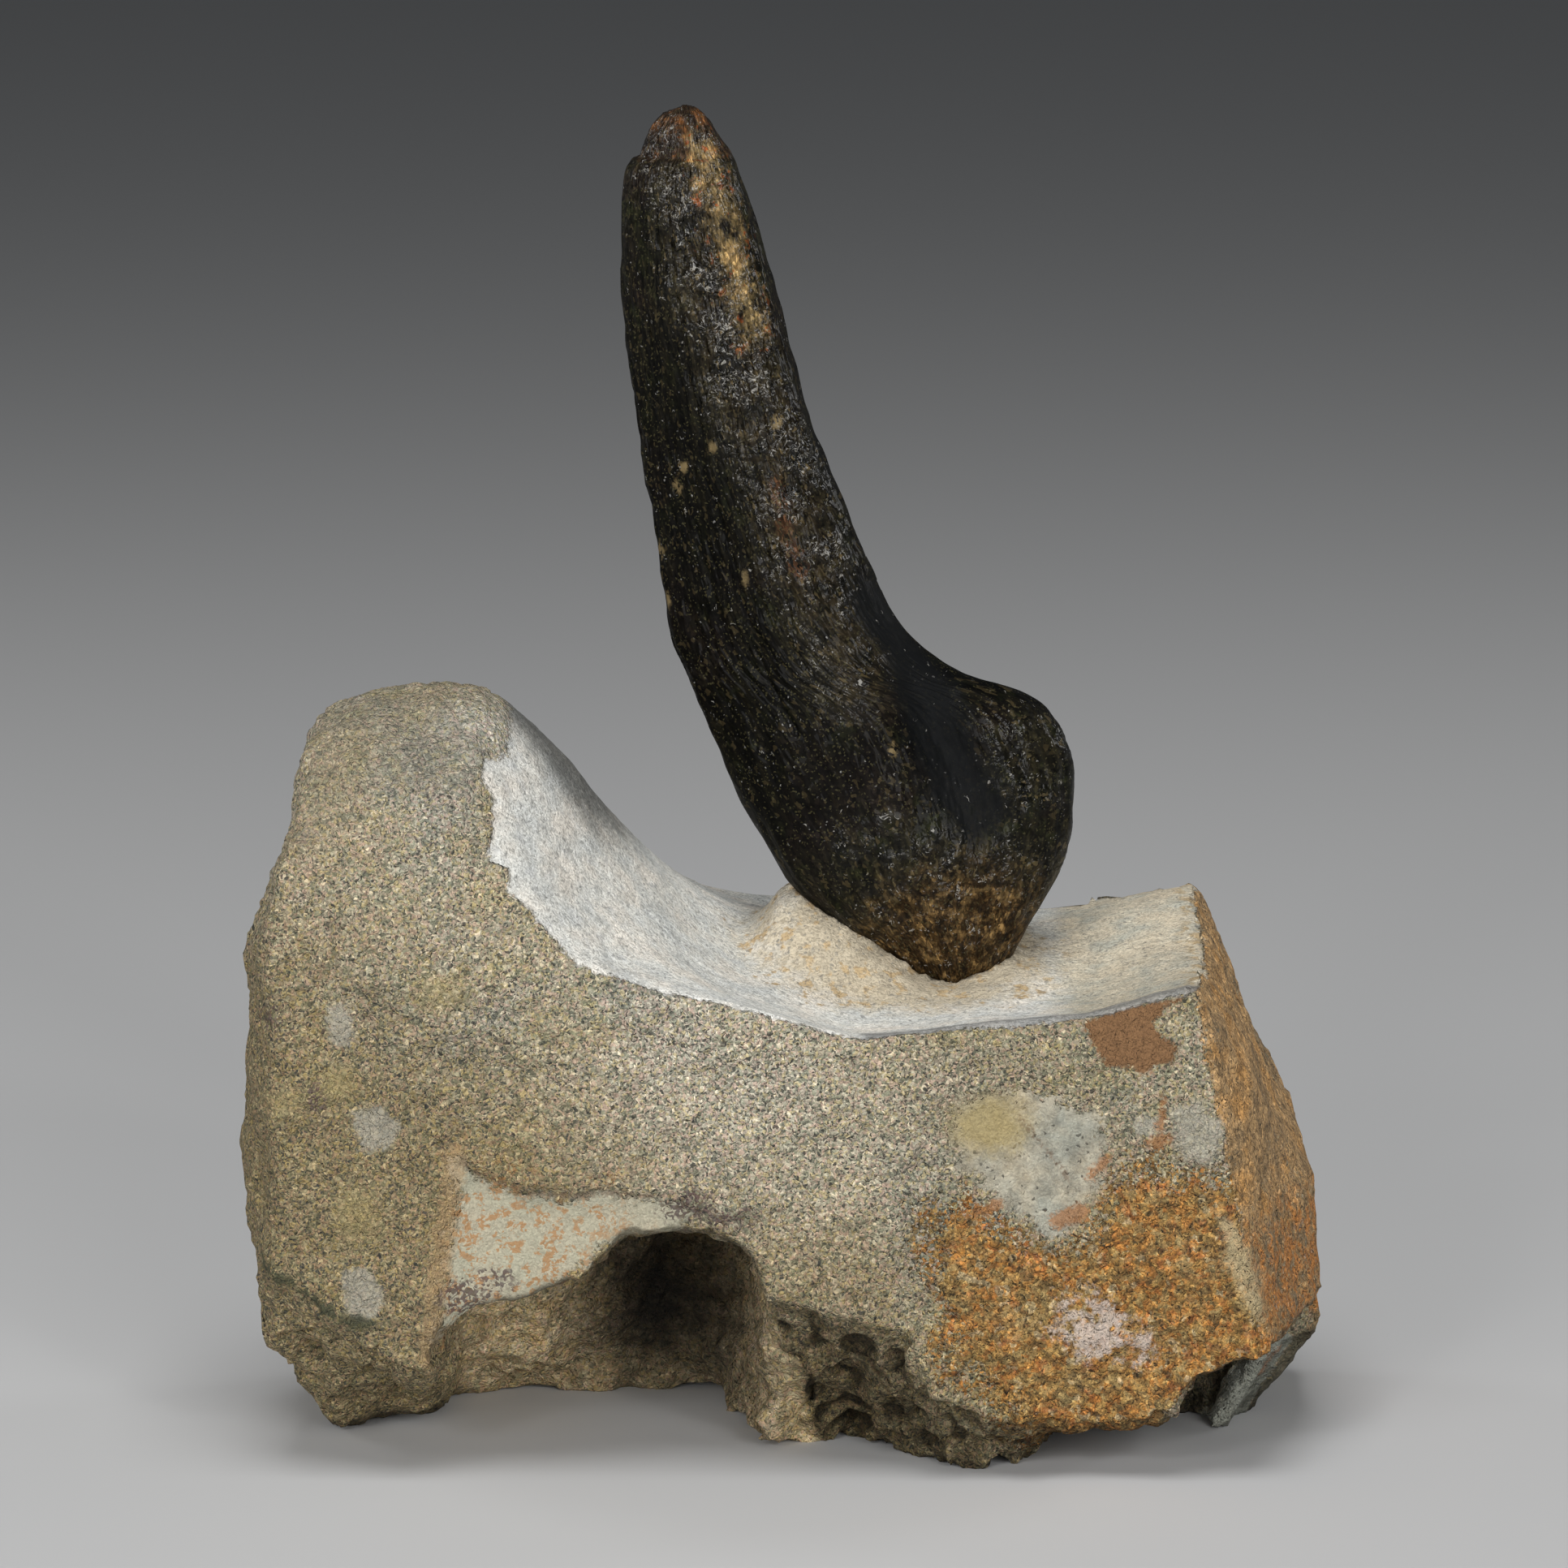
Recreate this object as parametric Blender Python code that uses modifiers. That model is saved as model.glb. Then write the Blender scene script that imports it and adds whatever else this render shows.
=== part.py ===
"""Fossil vertebral process of a duck-billed dinosaur, still held by its block of sandstone.

Two pieces: the dark bone, a flattened curved horn that swells to a lobe at its lower right,
and the pale block with the smooth scoop that was ground out around the bone. The other faces
of the block are broken rock. It rests on its flat underside at z = 0 and its front faces -Y.
Sizes are in millimetres, with y counted backwards from the front face until the last step,
which centres the object on the origin.
"""

import math

import bmesh
import bpy
import numpy as np
from mathutils import Vector, noise

MM = 0.001

# Block: the box that the rock is broken from
BLOCK_RIGHT = 86.0
BLOCK_DEPTH = 77.0
BLOCK_TOP = 118.0
BELOW_GROUND = 2.0
# What is cut away reaches from here in front of the block, below it and above it
IN_FRONT, BENEATH, OVERHEAD = -20.0, -8.0, 150.0
# Clearance between the bone and its pocket, with room for the bone's own lumps
POCKET_GAP = 0.55

# Left side of the block seen from the front, top to bottom, as (x, z)
LEFT_SIDE = [(-70.5, 112), (-74, 95), (-75.5, 88.5), (-80, 78), (-79, 62), (-81.5, 48), (-81, 36),
             (-79, 26), (-76, 15.5), (-69, 0), (-68, -BELOW_GROUND)]

# Broken faces of the block: a point on each and the way that it faces
FACETS = [
    ((-30, 0, 74), (0.03, -0.975, 0.22)),     # front of the left shoulder, leaning back
    ((-40, 6, 96), (0.05, -0.90, 0.43)),      # and leaning more above
    ((-50, 21, 114.5), (0.0, -0.62, 0.78)),   # rounding above it
    ((-42.5, 32, 115.3), (0.28, 0.0, 0.96)),  # top of the shoulder, falling right
    ((-61, 30, 115.3), (-0.1, 0.0, 0.99)),    # top of the shoulder
    ((-66, 28, 112.9), (-0.5, 0.0, 0.87)),    # top of the shoulder, falling left
    ((-70, 18, 110.8), (-0.75, -0.1, 0.66)),  # left corner of the shoulder
    ((-50, 38, 116), (0.05, 0.45, 0.89)),     # top of the shoulder, falling back
    ((-45, 70, 94), (0.0, 0.86, 0.5)),        # back of the shoulder
    ((-80, 10, 50), (-0.93, -0.36, 0.0)),     # left front corner
    ((-76, 50, 45), (-0.86, 0.5, 0.1)),       # left back corner
    ((-60, 74, 30), (-0.3, 0.95, -0.1)),
    ((30, 76, 50), (0.03, 0.99, 0.10)),       # back face
    ((61.5, 0, 77), (0.914, -0.356, 0.193)),  # right face, next to the front
    ((61.3, 0, 76.6), (0.903, -0.068, 0.424)),  # right face, upper part
    ((82, 38, 32), (0.99, 0.06, 0.08)),       # right face, lower part
    ((79, 63.5, 40), (0.8, 0.59, 0.08)),      # right back corner
    ((78.6, 40, 8.5), (0.741, -0.206, -0.64)),  # under the right corner
    ((0, 77, 12), (0.0, 0.88, -0.47)),        # under the back
]

# Scoop: height of its floor at the front face and at its rear rim, as (x, z)
SCOOP_FRONT = [(-62, 130), (-52, 122), (-46, 110), (-43, 98), (-40, 92), (-36, 87), (-32.5, 83),
               (-30, 80), (-26, 78), (-16, 75), (-4, 73), (12, 69), (28, 70.5), (44, 72),
               (60.5, 76.5), (90, 84)]
SCOOP_REAR = [(-62, 132), (-46, 121), (-38.5, 112.3), (-33, 105.5), (-27, 97), (-21, 89.8),
              (-13.5, 81.8), (-6, 77.4), (2, 75.8), (12, 75), (30, 73.5), (45, 74.6), (57, 77.3),
             (66, 78.5), (90, 80)]
# How far back that rim is, as (x, y), and how the floor falls behind it on the left
SCOOP_RIM = [(-62, 30), (-38, 32), (-27, 40), (-13, 52), (-2, 58), (90, 58)]
SCOOP_FALL = 0.24
# How deep it is dished between them, how much later it rises under the bone, and the width
# over which its left part changes into its right part
SCOOP_DISH = 3.8
SCOOP_DELAY = 0.9
SCOOP_MIDDLE = 20.0
SCOOP_GRID = (-64, -12), (96, 92), 2.0
# Rock left standing round the foot of the bone: half its depth as (x, y), its height above
# the scoop as (x, height), how far it spreads, and how much steeper it is at its ends
PEDESTAL_LEFT, PEDESTAL_RIGHT = 1.0, 36.0
PEDESTAL_HALF_DEPTH = [(1, 1.5), (6, 4.5), (12, 6.5), (20, 8), (30, 7.5), (36, 5)]
PEDESTAL_RISE = [(-4, 10), (1, 10), (4, 9.2), (8, 8), (12, 6), (17, 3.4), (23, 0.6), (27, 0.0),
                 (33, 1.2), (36, 2.0)]
PEDESTAL_SPREAD = 8.0
PEDESTAL_STEEPNESS = 2.2

# Lower edge of the front face, left to right, as (x, z)
FRONT_LIP = [(-90, 34), (-77.5, 30.5), (-70.5, 27), (-67.5, 23.5), (-62.5, 24), (-59.5, 21.5),
             (-54, 15.5), (-52.5, 16), (-51, 24), (-46.5, 26), (-38.5, 27), (-31.5, 30), (-28.5, 31.5),
             (-25.5, 34.5), (-24, 37), (-15, 37.5), (-7.5, 36), (-3.5, 34), (-2.5, 27), (3, 25.5),
             (12, 24.5), (18, 22), (22.5, 14.5), (25, 11.5), (30, 10), (37.5, 8.5), (42, 6.5),
             (46.5, 7), (55, 9), (59, 9.5), (59, 12.5), (60.5, 15.5), (71, 18), (81, 21.5), (95, 25)]
# How far back the rock lies under that edge: on the ground and just under the edge, as (x, y)
UNDERCUT_GROUND = [(-90, 28), (-69, 30), (-62.5, 35), (-53, 45), (-49, 55), (-30, 56), (-13.5, 58),
                   (-10, 52), (-5.5, 35), (-2.5, 19), (4.5, 24), (11.5, 28), (19, 18), (26.5, 8),
                   (38, 14), (41.5, 34), (50, 42), (72, 42), (95, 44)]
UNDERCUT_EDGE = [(-90, 3), (-54, 2), (-51.5, 3), (-50, 13), (-44, 20), (-34, 30), (-25, 42),
                 (-12, 47), (-4.5, 42), (-2.5, 9), (1, 4), (6, 1), (58.5, 0.5), (61, 30), (78, 34),
                 (95, 36)]
HOLLOW_GRID = (-92, -6), (97, 44), 1.5

# Flat facet of mudstone above the hollow, seen from the front, as (x, z)
MUDSTONE_OUTLINE = [(-48, 50), (-45, 47.5), (-40.5, 45.5), (-36.5, 44), (-30.5, 43.5), (-25.5, 44.5),
                    (-17.5, 44), (-13, 42), (-9, 36), (-20, 10), (-53.5, 10), (-51, 33)]
# The rib on its left: where it is at the top and how it leans, and how far the facet lies
# behind the front face at each distance right of the rib
RIB_TOP_X, RIB_TOP_Z, RIB_LEAN = -48.5, 50.0, 0.125
MUDSTONE_DEPTH = [(-8, 0.0), (0, 0.1), (3.5, 2.2), (10, 1.8), (20, 1.2), (45, 0.6)]
MUDSTONE_GRID = (-62, 5), (-2, 55), 1.0

# Thin slab that hangs in the notch at the lower right corner
SLAB_TOP, SLAB_FOOT = (76.2, 15.0), (66.2, -1.0)
SLAB_THICKNESS = 4.0
SLAB_FRONT, SLAB_BACK = 30.0, 48.0

# Finish of the rock: size of its first even grid, its lumps as (wavelength, height), and how
# many triangles are left
ROCK_VOXEL = 1.3
WORN_EDGES = 1
ROCK_LUMPS = [(24.0, 1.1), (9.0, 0.5), (4.0, 0.22)]
SCOOP_LUMPS = [(24.0, 0.5), (8.0, 0.12)]
# A shallow dent in the upper part of the right face: where, how wide and how deep
DENT_PLACE, DENT_REACH, DENT_DEPTH = Vector((74.0, 62.0, 61.0)), 11.0, 1.7
ROCK_TRIANGLES = 6600
# The worn shoulder lies left of here, above a line that rises to the left
SHOULDER_X, SHOULDER_Z, SHOULDER_SLOPE = -20.0, 76.0, 0.4
SHOULDER_WEAR = 24
# The scoop reaches this far left, and its smoothness fades out over this depth below it
SCOOP_LEFT, SCOOP_SKIN = -42.0, 3.0

# Bone: stations from tip to foot, each the left edge, the right edge (x, z), half the
# thickness, and the places across it of the ridge and of the groove beside it
BONE_DEPTH = 45.0
BONE_TIP, BONE_FOOT = (-14.0, 202.9), (28.2, 61.0)
BONE_STATIONS = [
    ((-18.0, 201.0), (-10.6, 200.4), 3.6, 0.55, 0.95),
    ((-21.3, 197.6), (-8.6, 197.6), 5.6, 0.55, 0.95),
    ((-22.4, 194.6), (-7.2, 195.0), 6.8, 0.56, 0.95),
    ((-24.0, 192.4), (-6.2, 192.6), 7.4, 0.57, 0.95),
    ((-24.3, 186.0), (-3.9, 186.5), 7.9, 0.58, 0.95),
    ((-24.4, 177.0), (-1.2, 177.5), 8.2, 0.62, 0.95),
    ((-23.6, 167.0), (1.5, 167.0), 8.5, 0.66, 0.95),
    ((-22.5, 157.0), (4.1, 157.5), 8.7, 0.70, 0.95),
    ((-21.2, 147.5), (7.0, 148.5), 9.0, 0.72, 0.95),
    ((-19.6, 138.0), (11.0, 139.0), 9.3, 0.72, 0.94),
    ((-18.3, 129.5), (14.6, 130.6), 9.7, 0.70, 0.92),
    ((-16.2, 120.0), (20.2, 122.0), 10.2, 0.68, 0.89),
    ((-13.0, 112.0), (27.2, 116.0), 10.8, 0.62, 0.82),
    ((-8.6, 101.5), (35.6, 113.4), 11.6, 0.52, 0.72),
    ((-5.2, 94.2), (42.3, 109.0), 12.0, 0.46, 0.67),
    ((-1.8, 88.2), (45.3, 100.5), 12.0, 0.42, 0.63),
    ((2.0, 82.2), (44.9, 92.0), 11.2, 0.42, 0.60),
    ((8.0, 77.0), (42.2, 83.5), 9.8, 0.45, 0.60),
    ((15.0, 71.8), (38.0, 76.0), 8.2, 0.50, 0.60),
    ((21.5, 66.0), (34.0, 69.5), 5.6, 0.50, 0.60),
    ((25.0, 62.0), (31.0, 63.5), 2.8, 0.50, 0.60),
]
BONE_RINGS = 52
BONE_RING_POINTS = 26
# The ridge fades out towards RIDGE_END, and the groove runs between its two ends; both are
# shares of the length from the tip, with widths as shares of the bone's own width
RIDGE_RISE, RIDGE_WIDTH, RIDGE_END, RIDGE_FADE = 0.9, 0.07, 0.75, 0.2
GROOVE_DEPTH, GROOVE_WIDTH, GROOVE_FADE = 3.2, 0.10, 0.11
GROOVE_START, GROOVE_END = 0.42, 0.80
BONE_LUMPS = [(7.0, 0.22), (3.0, 0.12)]
NOISE_SEAT = Vector((37.0, 11.0, 53.0))

BONE_COLOUR, BONE_ROUGHNESS = (0.035, 0.028, 0.022), 0.3
ROCK_COLOUR, ROCK_ROUGHNESS = (0.42, 0.36, 0.28), 0.9


def clear_scene():
    for old in list(bpy.data.objects):
        bpy.data.objects.remove(old, do_unlink=True)


def new_collection(name):
    collection = bpy.data.collections.new(name)
    bpy.context.scene.collection.children.link(collection)
    return collection


def smooth_curve(points):
    """A function that runs smoothly through points (x, value), without overshoot."""
    xs = np.array([p[0] for p in points], float)
    values = np.array([p[1] for p in points], float)
    steps = np.diff(values) / np.diff(xs)
    slopes = np.zeros(len(xs))
    for i in range(1, len(xs) - 1):
        if steps[i - 1] * steps[i] > 0:
            slopes[i] = 2 * steps[i - 1] * steps[i] / (steps[i - 1] + steps[i])
    slopes[0], slopes[-1] = steps[0], steps[-1]

    def value(x):
        x = min(max(x, xs[0]), xs[-1])
        i = min(int(np.searchsorted(xs, x, side="right")) - 1, len(xs) - 2)
        width = xs[i + 1] - xs[i]
        t = (x - xs[i]) / width
        rise = values[i + 1] - values[i]
        bend = (t - 2 * t**2 + t**3) * slopes[i] + (t**3 - t**2) * slopes[i + 1]
        return values[i] + rise * (3 * t**2 - 2 * t**3) + width * bend

    return value


def smooth_step(t):
    t = min(max(t, 0.0), 1.0)
    return t * t * (3 - 2 * t)


def bell(distance, width):
    return math.exp(-((distance / width) ** 2))


def object_from(bm, name, collection):
    """An object whose mesh is bm, scaled from millimetres."""
    bmesh.ops.recalc_face_normals(bm, faces=bm.faces)
    bmesh.ops.scale(bm, vec=(MM, MM, MM), verts=bm.verts)
    mesh = bpy.data.meshes.new(name)
    bm.to_mesh(mesh)
    bm.free()
    obj = bpy.data.objects.new(name, mesh)
    collection.objects.link(obj)
    return obj


def boolean(obj, other, operation):
    modifier = obj.modifiers.new(other.name, "BOOLEAN")
    modifier.operation = operation
    modifier.solver = "EXACT"
    modifier.object = other


def settle(obj):
    """Applies the object's modifiers."""
    bpy.context.view_layer.update()
    graph = bpy.context.evaluated_depsgraph_get()
    mesh = bpy.data.meshes.new_from_object(obj.evaluated_get(graph))
    obj.modifiers.clear()
    obj.data = mesh


def prism(points, front, back):
    """An outline given as (x, z), extruded from the front to the back."""
    bm = bmesh.new()
    bm.faces.new([bm.verts.new((x, front, z)) for x, z in points])
    out = bmesh.ops.extrude_face_region(bm, geom=bm.faces[:])
    moved = [v for v in out["geom"] if isinstance(v, bmesh.types.BMVert)]
    bmesh.ops.translate(bm, vec=(0, back - front, 0), verts=moved)
    bmesh.ops.triangulate(bm, faces=bm.faces)
    return bm


def relief(grid, height_of, lid):
    """A solid between the relief height_of(a, b) over (low corner), (high corner), step and a lid."""
    (a0, b0), (a1, b1), step = grid
    bm = bmesh.new()
    across, along = int((a1 - a0) / step), int((b1 - b0) / step)
    bmesh.ops.create_grid(bm, x_segments=across, y_segments=along, size=0.5)
    for v in bm.verts:
        v.co.x = a0 + (v.co.x + 0.5) * (a1 - a0)
        v.co.y = b0 + (v.co.y + 0.5) * (b1 - b0)
    out = bmesh.ops.extrude_face_region(bm, geom=bm.faces[:])
    top = {v for v in out["geom"] if isinstance(v, bmesh.types.BMVert)}
    for v in bm.verts:
        v.co.z = lid if v in top else height_of(v.co.x, v.co.y)
    return bm


def rock_block():
    """The block with its broken outer faces."""
    right_side = [(BLOCK_RIGHT, -BELOW_GROUND), (BLOCK_RIGHT, BLOCK_TOP)]
    bm = prism(LEFT_SIDE + right_side + [(LEFT_SIDE[0][0], BLOCK_TOP)], 0, BLOCK_DEPTH)
    for point, facing in FACETS:
        geom = bm.verts[:] + bm.edges[:] + bm.faces[:]
        cut = bmesh.ops.bisect_plane(bm, geom=geom, plane_co=point, plane_no=facing, clear_outer=True)
        rim = [e for e in cut["geom_cut"] if isinstance(e, bmesh.types.BMEdge)]
        bmesh.ops.holes_fill(bm, edges=rim)
        bmesh.ops.triangulate(bm, faces=bm.faces)
    return bm


SCOOP_CURVES = {
    "front": smooth_curve(SCOOP_FRONT),
    "rear": smooth_curve(SCOOP_REAR),
    "rim": smooth_curve(SCOOP_RIM),
}


def scoop_floor(x, y):
    """Height of the scoop, without the rock left round the bone."""
    front, rear, rim = SCOOP_CURVES["front"](x), SCOOP_CURVES["rear"](x), SCOOP_CURVES["rim"](x)
    along = min(max(y / rim, 0), 1)
    back = smooth_step(along) ** (1 + SCOOP_DELAY * smooth_step(x / SCOOP_MIDDLE))
    dish = SCOOP_DISH * math.sin(math.pi * along) * smooth_step(1 + x / SCOOP_MIDDLE)
    fall = SCOOP_FALL * max(y - rim, 0) * smooth_step(-x / SCOOP_MIDDLE)
    return front * (1 - back) + rear * back - dish - fall


def scoop():
    """Everything above the ground-out floor of the scoop."""
    rise, half_depth = smooth_curve(PEDESTAL_RISE), smooth_curve(PEDESTAL_HALF_DEPTH)

    def floor(x, y):
        beside = max(PEDESTAL_LEFT - x, x - PEDESTAL_RIGHT, 0)
        before = max(abs(y - BONE_DEPTH) - half_depth(x), 0)
        away = math.hypot(beside * PEDESTAL_STEEPNESS, before)
        return scoop_floor(x, y) + rise(x) * bell(away, PEDESTAL_SPREAD)

    return relief(SCOOP_GRID, floor, OVERHEAD)


def undercut():
    """The hollow under the front face and the rock missing beside it, before the lip trims it."""
    ground, edge = smooth_curve(UNDERCUT_GROUND), smooth_curve(UNDERCUT_EDGE)
    rightward = [after for before, after in zip(FRONT_LIP, FRONT_LIP[1:]) if after[0] > before[0]]
    lip = smooth_curve(FRONT_LIP[:1] + rightward)

    def depth(x, z):
        up = min(max(z / lip(x), 0), 1)
        return ground(x) * (1 - up) + edge(x) * up

    return stood_up(relief(HOLLOW_GRID, depth, IN_FRONT))


def mudstone_recess():
    """The rock missing in front of the mudstone facet, before its outline trims it."""
    depth = smooth_curve(MUDSTONE_DEPTH)

    def behind_front(x, z):
        return depth(x - RIB_TOP_X + RIB_LEAN * (RIB_TOP_Z - z))

    return stood_up(relief(MUDSTONE_GRID, behind_front, IN_FRONT))


def stood_up(bm):
    """Stands up a relief made over (x, y), so that it lies over (x, z) and its depth is y."""
    for v in bm.verts:
        v.co = v.co.xzy
    return bm


def slab():
    """The thin slab in the lower right corner, a leaning plate."""
    (top_x, top_z), (foot_x, foot_z) = SLAB_TOP, SLAB_FOOT
    half = SLAB_THICKNESS / 2
    points = [(foot_x - half, foot_z), (foot_x + half, foot_z), (top_x + half, top_z), (top_x - half, top_z)]
    return prism(points, SLAB_FRONT, SLAB_BACK)


def lumpy(place, lumps):
    """Noise at a point, from lumps given as (wavelength, height)."""
    return sum(height * noise.noise(place / wave + NOISE_SEAT) for wave, height in lumps)


def rock_lift(place):
    """How far a point of the rock is moved outwards: gentle in the scoop, rough elsewhere."""
    above = place.z - scoop_floor(place.x, place.y) + SCOOP_SKIN
    ground_out = smooth_step(above / SCOOP_SKIN) * smooth_step((place.x - SCOOP_LEFT) / SCOOP_SKIN)
    dent = DENT_DEPTH * bell((place - DENT_PLACE).length, DENT_REACH)
    return lumpy(place, SCOOP_LUMPS) * ground_out + lumpy(place, ROCK_LUMPS) * (1 - ground_out) - dent


def bone_lift(place):
    return lumpy(place, BONE_LUMPS)


def roughen(obj, lift_at):
    """Moves each point of the object along its normal."""
    normals = [v.normal.copy() for v in obj.data.vertices]
    for v, normal in zip(obj.data.vertices, normals):
        v.co += normal * lift_at(v.co / MM) * MM


def round_shoulder(obj):
    """Wears the left shoulder and the flank of the scoop to one rounded form."""
    bm = bmesh.new()
    bm.from_mesh(obj.data)
    worn = []
    for v in bm.verts:
        beyond = SHOULDER_X - v.co.x / MM
        if beyond > 0 and v.co.z / MM > SHOULDER_Z + SHOULDER_SLOPE * beyond:
            worn.append(v)
    for _ in range(SHOULDER_WEAR):
        bmesh.ops.smooth_vert(bm, verts=worn, factor=0.5, use_axis_x=True, use_axis_y=True, use_axis_z=True)
    bm.to_mesh(obj.data)
    bm.free()


BONE_CURVES = [
    smooth_curve(list(enumerate(column)))
    for column in zip(*((*left, *right, *rest) for left, right, *rest in BONE_STATIONS))
]


def bone_section(t, grow):
    """One ring of the bone at t, from 0 at the tip to 1 at the foot, made larger by grow."""
    at_station = [curve(t * (len(BONE_STATIONS) - 1)) for curve in BONE_CURVES]
    left_x, left_z, right_x, right_z, half, ridge, groove = at_station
    left, right = Vector((left_x, BONE_DEPTH, left_z)), Vector((right_x, BONE_DEPTH, right_z))
    outward = (right - left).normalized() * grow
    left, right = left - outward, right + outward
    grooved = GROOVE_DEPTH * smooth_step((t - GROOVE_START) / GROOVE_FADE)
    grooved *= smooth_step((GROOVE_END - t) / GROOVE_FADE)
    ridged = RIDGE_RISE * smooth_step((RIDGE_END - t) / RIDGE_FADE)
    skew = math.log(0.5) / math.log(ridge)
    ring = []
    for k in range(BONE_RING_POINTS):
        turn = 2 * math.pi * k / BONE_RING_POINTS
        across = (1 - math.cos(turn)) / 2
        off_edge = abs(math.sin(turn))
        front = turn < math.pi
        leaning = 2 * across ** (skew if front else 1.0) - 1
        deep = half * math.sqrt(max(1 - leaning**2, 0)) + grow * off_edge
        if front:
            deep += ridged * bell(across - ridge, RIDGE_WIDTH) * off_edge
            deep -= grooved * bell(across - groove, GROOVE_WIDTH) * off_edge
        ring.append(left.lerp(right, across) + Vector((0, -deep if front else deep, 0)))
    return ring


def bone(grow=0.0):
    """The bone as a loft through its rings, closed at tip and foot."""
    bm = bmesh.new()
    loops = []
    for i in range(BONE_RINGS):
        verts = [bm.verts.new(p) for p in bone_section(i / (BONE_RINGS - 1), grow)]
        loops.append([bm.edges.new((a, b)) for a, b in zip(verts, verts[1:] + verts[:1])])
    for one, two in zip(loops, loops[1:]):
        bmesh.ops.bridge_loops(bm, edges=one + two)
    for loop, (end_x, end_z), lift in ((loops[0], BONE_TIP, grow), (loops[-1], BONE_FOOT, -grow)):
        cap = bmesh.ops.contextual_create(bm, geom=loop)["faces"]
        centre = bmesh.ops.poke(bm, faces=cap)["verts"][0]
        centre.co = Vector((end_x, BONE_DEPTH, end_z + lift))
    return bm


def material(name, colour, roughness):
    made = bpy.data.materials.new(name)
    made.use_nodes = True
    surface = made.node_tree.nodes["Principled BSDF"]
    surface.inputs["Base Color"].default_value = (*colour, 1.0)
    surface.inputs["Roughness"].default_value = roughness
    surface.inputs["Metallic"].default_value = 0.0
    made.diffuse_color = (*colour, 1.0)
    return made


def make_bone(parts):
    obj = object_from(bone(), "fossil_bone", parts)
    roughen(obj, bone_lift)
    obj.data.materials.append(material("consolidated fossil bone", BONE_COLOUR, BONE_ROUGHNESS))
    obj.data.shade_smooth()
    return obj


def ground():
    """Everything below z = 0, so that the block gets a flat underside."""
    bm = bmesh.new()
    side = 3 * BLOCK_RIGHT
    bmesh.ops.create_cube(bm, size=side)
    bmesh.ops.translate(bm, vec=(0, BLOCK_DEPTH / 2, -side / 2), verts=bm.verts)
    return bm


def make_rock(parts, cutters):
    def cutter(bm, name):
        made = object_from(bm, name, cutters)
        made.hide_render = True
        made.display_type = "WIRE"
        return made

    obj = object_from(rock_block(), "sandstone_matrix", parts)
    boolean(obj, cutter(scoop(), "scoop"), "DIFFERENCE")
    hollow = cutter(undercut(), "hollow")
    below_lip = FRONT_LIP + [(FRONT_LIP[-1][0], BENEATH), (FRONT_LIP[0][0], BENEATH)]
    boolean(hollow, cutter(prism(below_lip, IN_FRONT, BLOCK_DEPTH), "below_lip"), "INTERSECT")
    boolean(obj, hollow, "DIFFERENCE")
    recess = cutter(mudstone_recess(), "mudstone_recess")
    outline = cutter(prism(MUDSTONE_OUTLINE, IN_FRONT, BLOCK_DEPTH), "mudstone_outline")
    boolean(recess, outline, "INTERSECT")
    boolean(obj, recess, "DIFFERENCE")
    boolean(obj, cutter(slab(), "slab"), "UNION")
    remesh = obj.modifiers.new("even surface", "REMESH")
    remesh.mode = "VOXEL"
    remesh.voxel_size = ROCK_VOXEL * MM
    soften = obj.modifiers.new("worn edges", "SMOOTH")
    soften.factor = 0.5
    soften.iterations = WORN_EDGES
    settle(obj)
    round_shoulder(obj)
    roughen(obj, rock_lift)
    coarse = obj.modifiers.new("broad facets", "DECIMATE")
    coarse.ratio = ROCK_TRIANGLES / sum(len(p.vertices) - 2 for p in obj.data.polygons)
    settle(obj)
    boolean(obj, cutter(bone(POCKET_GAP), "bone_pocket"), "DIFFERENCE")
    boolean(obj, cutter(ground(), "ground"), "DIFFERENCE")
    settle(obj)
    obj.data.materials.append(material("sandstone", ROCK_COLOUR, ROCK_ROUGHNESS))
    obj.data.shade_flat()
    return obj


def centre_on_origin(objects):
    """Moves the pieces so that the box round them is centred above the origin and stands on it."""
    corners = [v.co for obj in objects for v in obj.data.vertices]
    middle_x = (min(c.x for c in corners) + max(c.x for c in corners)) / 2
    middle_y = (min(c.y for c in corners) + max(c.y for c in corners)) / 2
    low = min(c.z for c in corners)
    for obj in objects:
        for v in obj.data.vertices:
            v.co -= Vector((middle_x, middle_y, low))


def main():
    clear_scene()
    parts = new_collection("fossil vertebra in matrix")
    cutters = new_collection("cutters")
    pieces = [make_bone(parts), make_rock(parts, cutters)]
    centre_on_origin(pieces)


main()
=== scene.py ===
"""Looks of a fossil vertebral process in its sandstone matrix.

The fixed frame gives the two solids. Each is copied, given a fine even surface and shaped
with the relief that the real one shows: grain, chips and a ground-out scoop on the rock,
lengthwise fibres and wrinkles on the bone. Lengths are in millimetres until a mesh is
finished, in the frame's axes: x to the right, y to the back, z up.
"""

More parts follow.
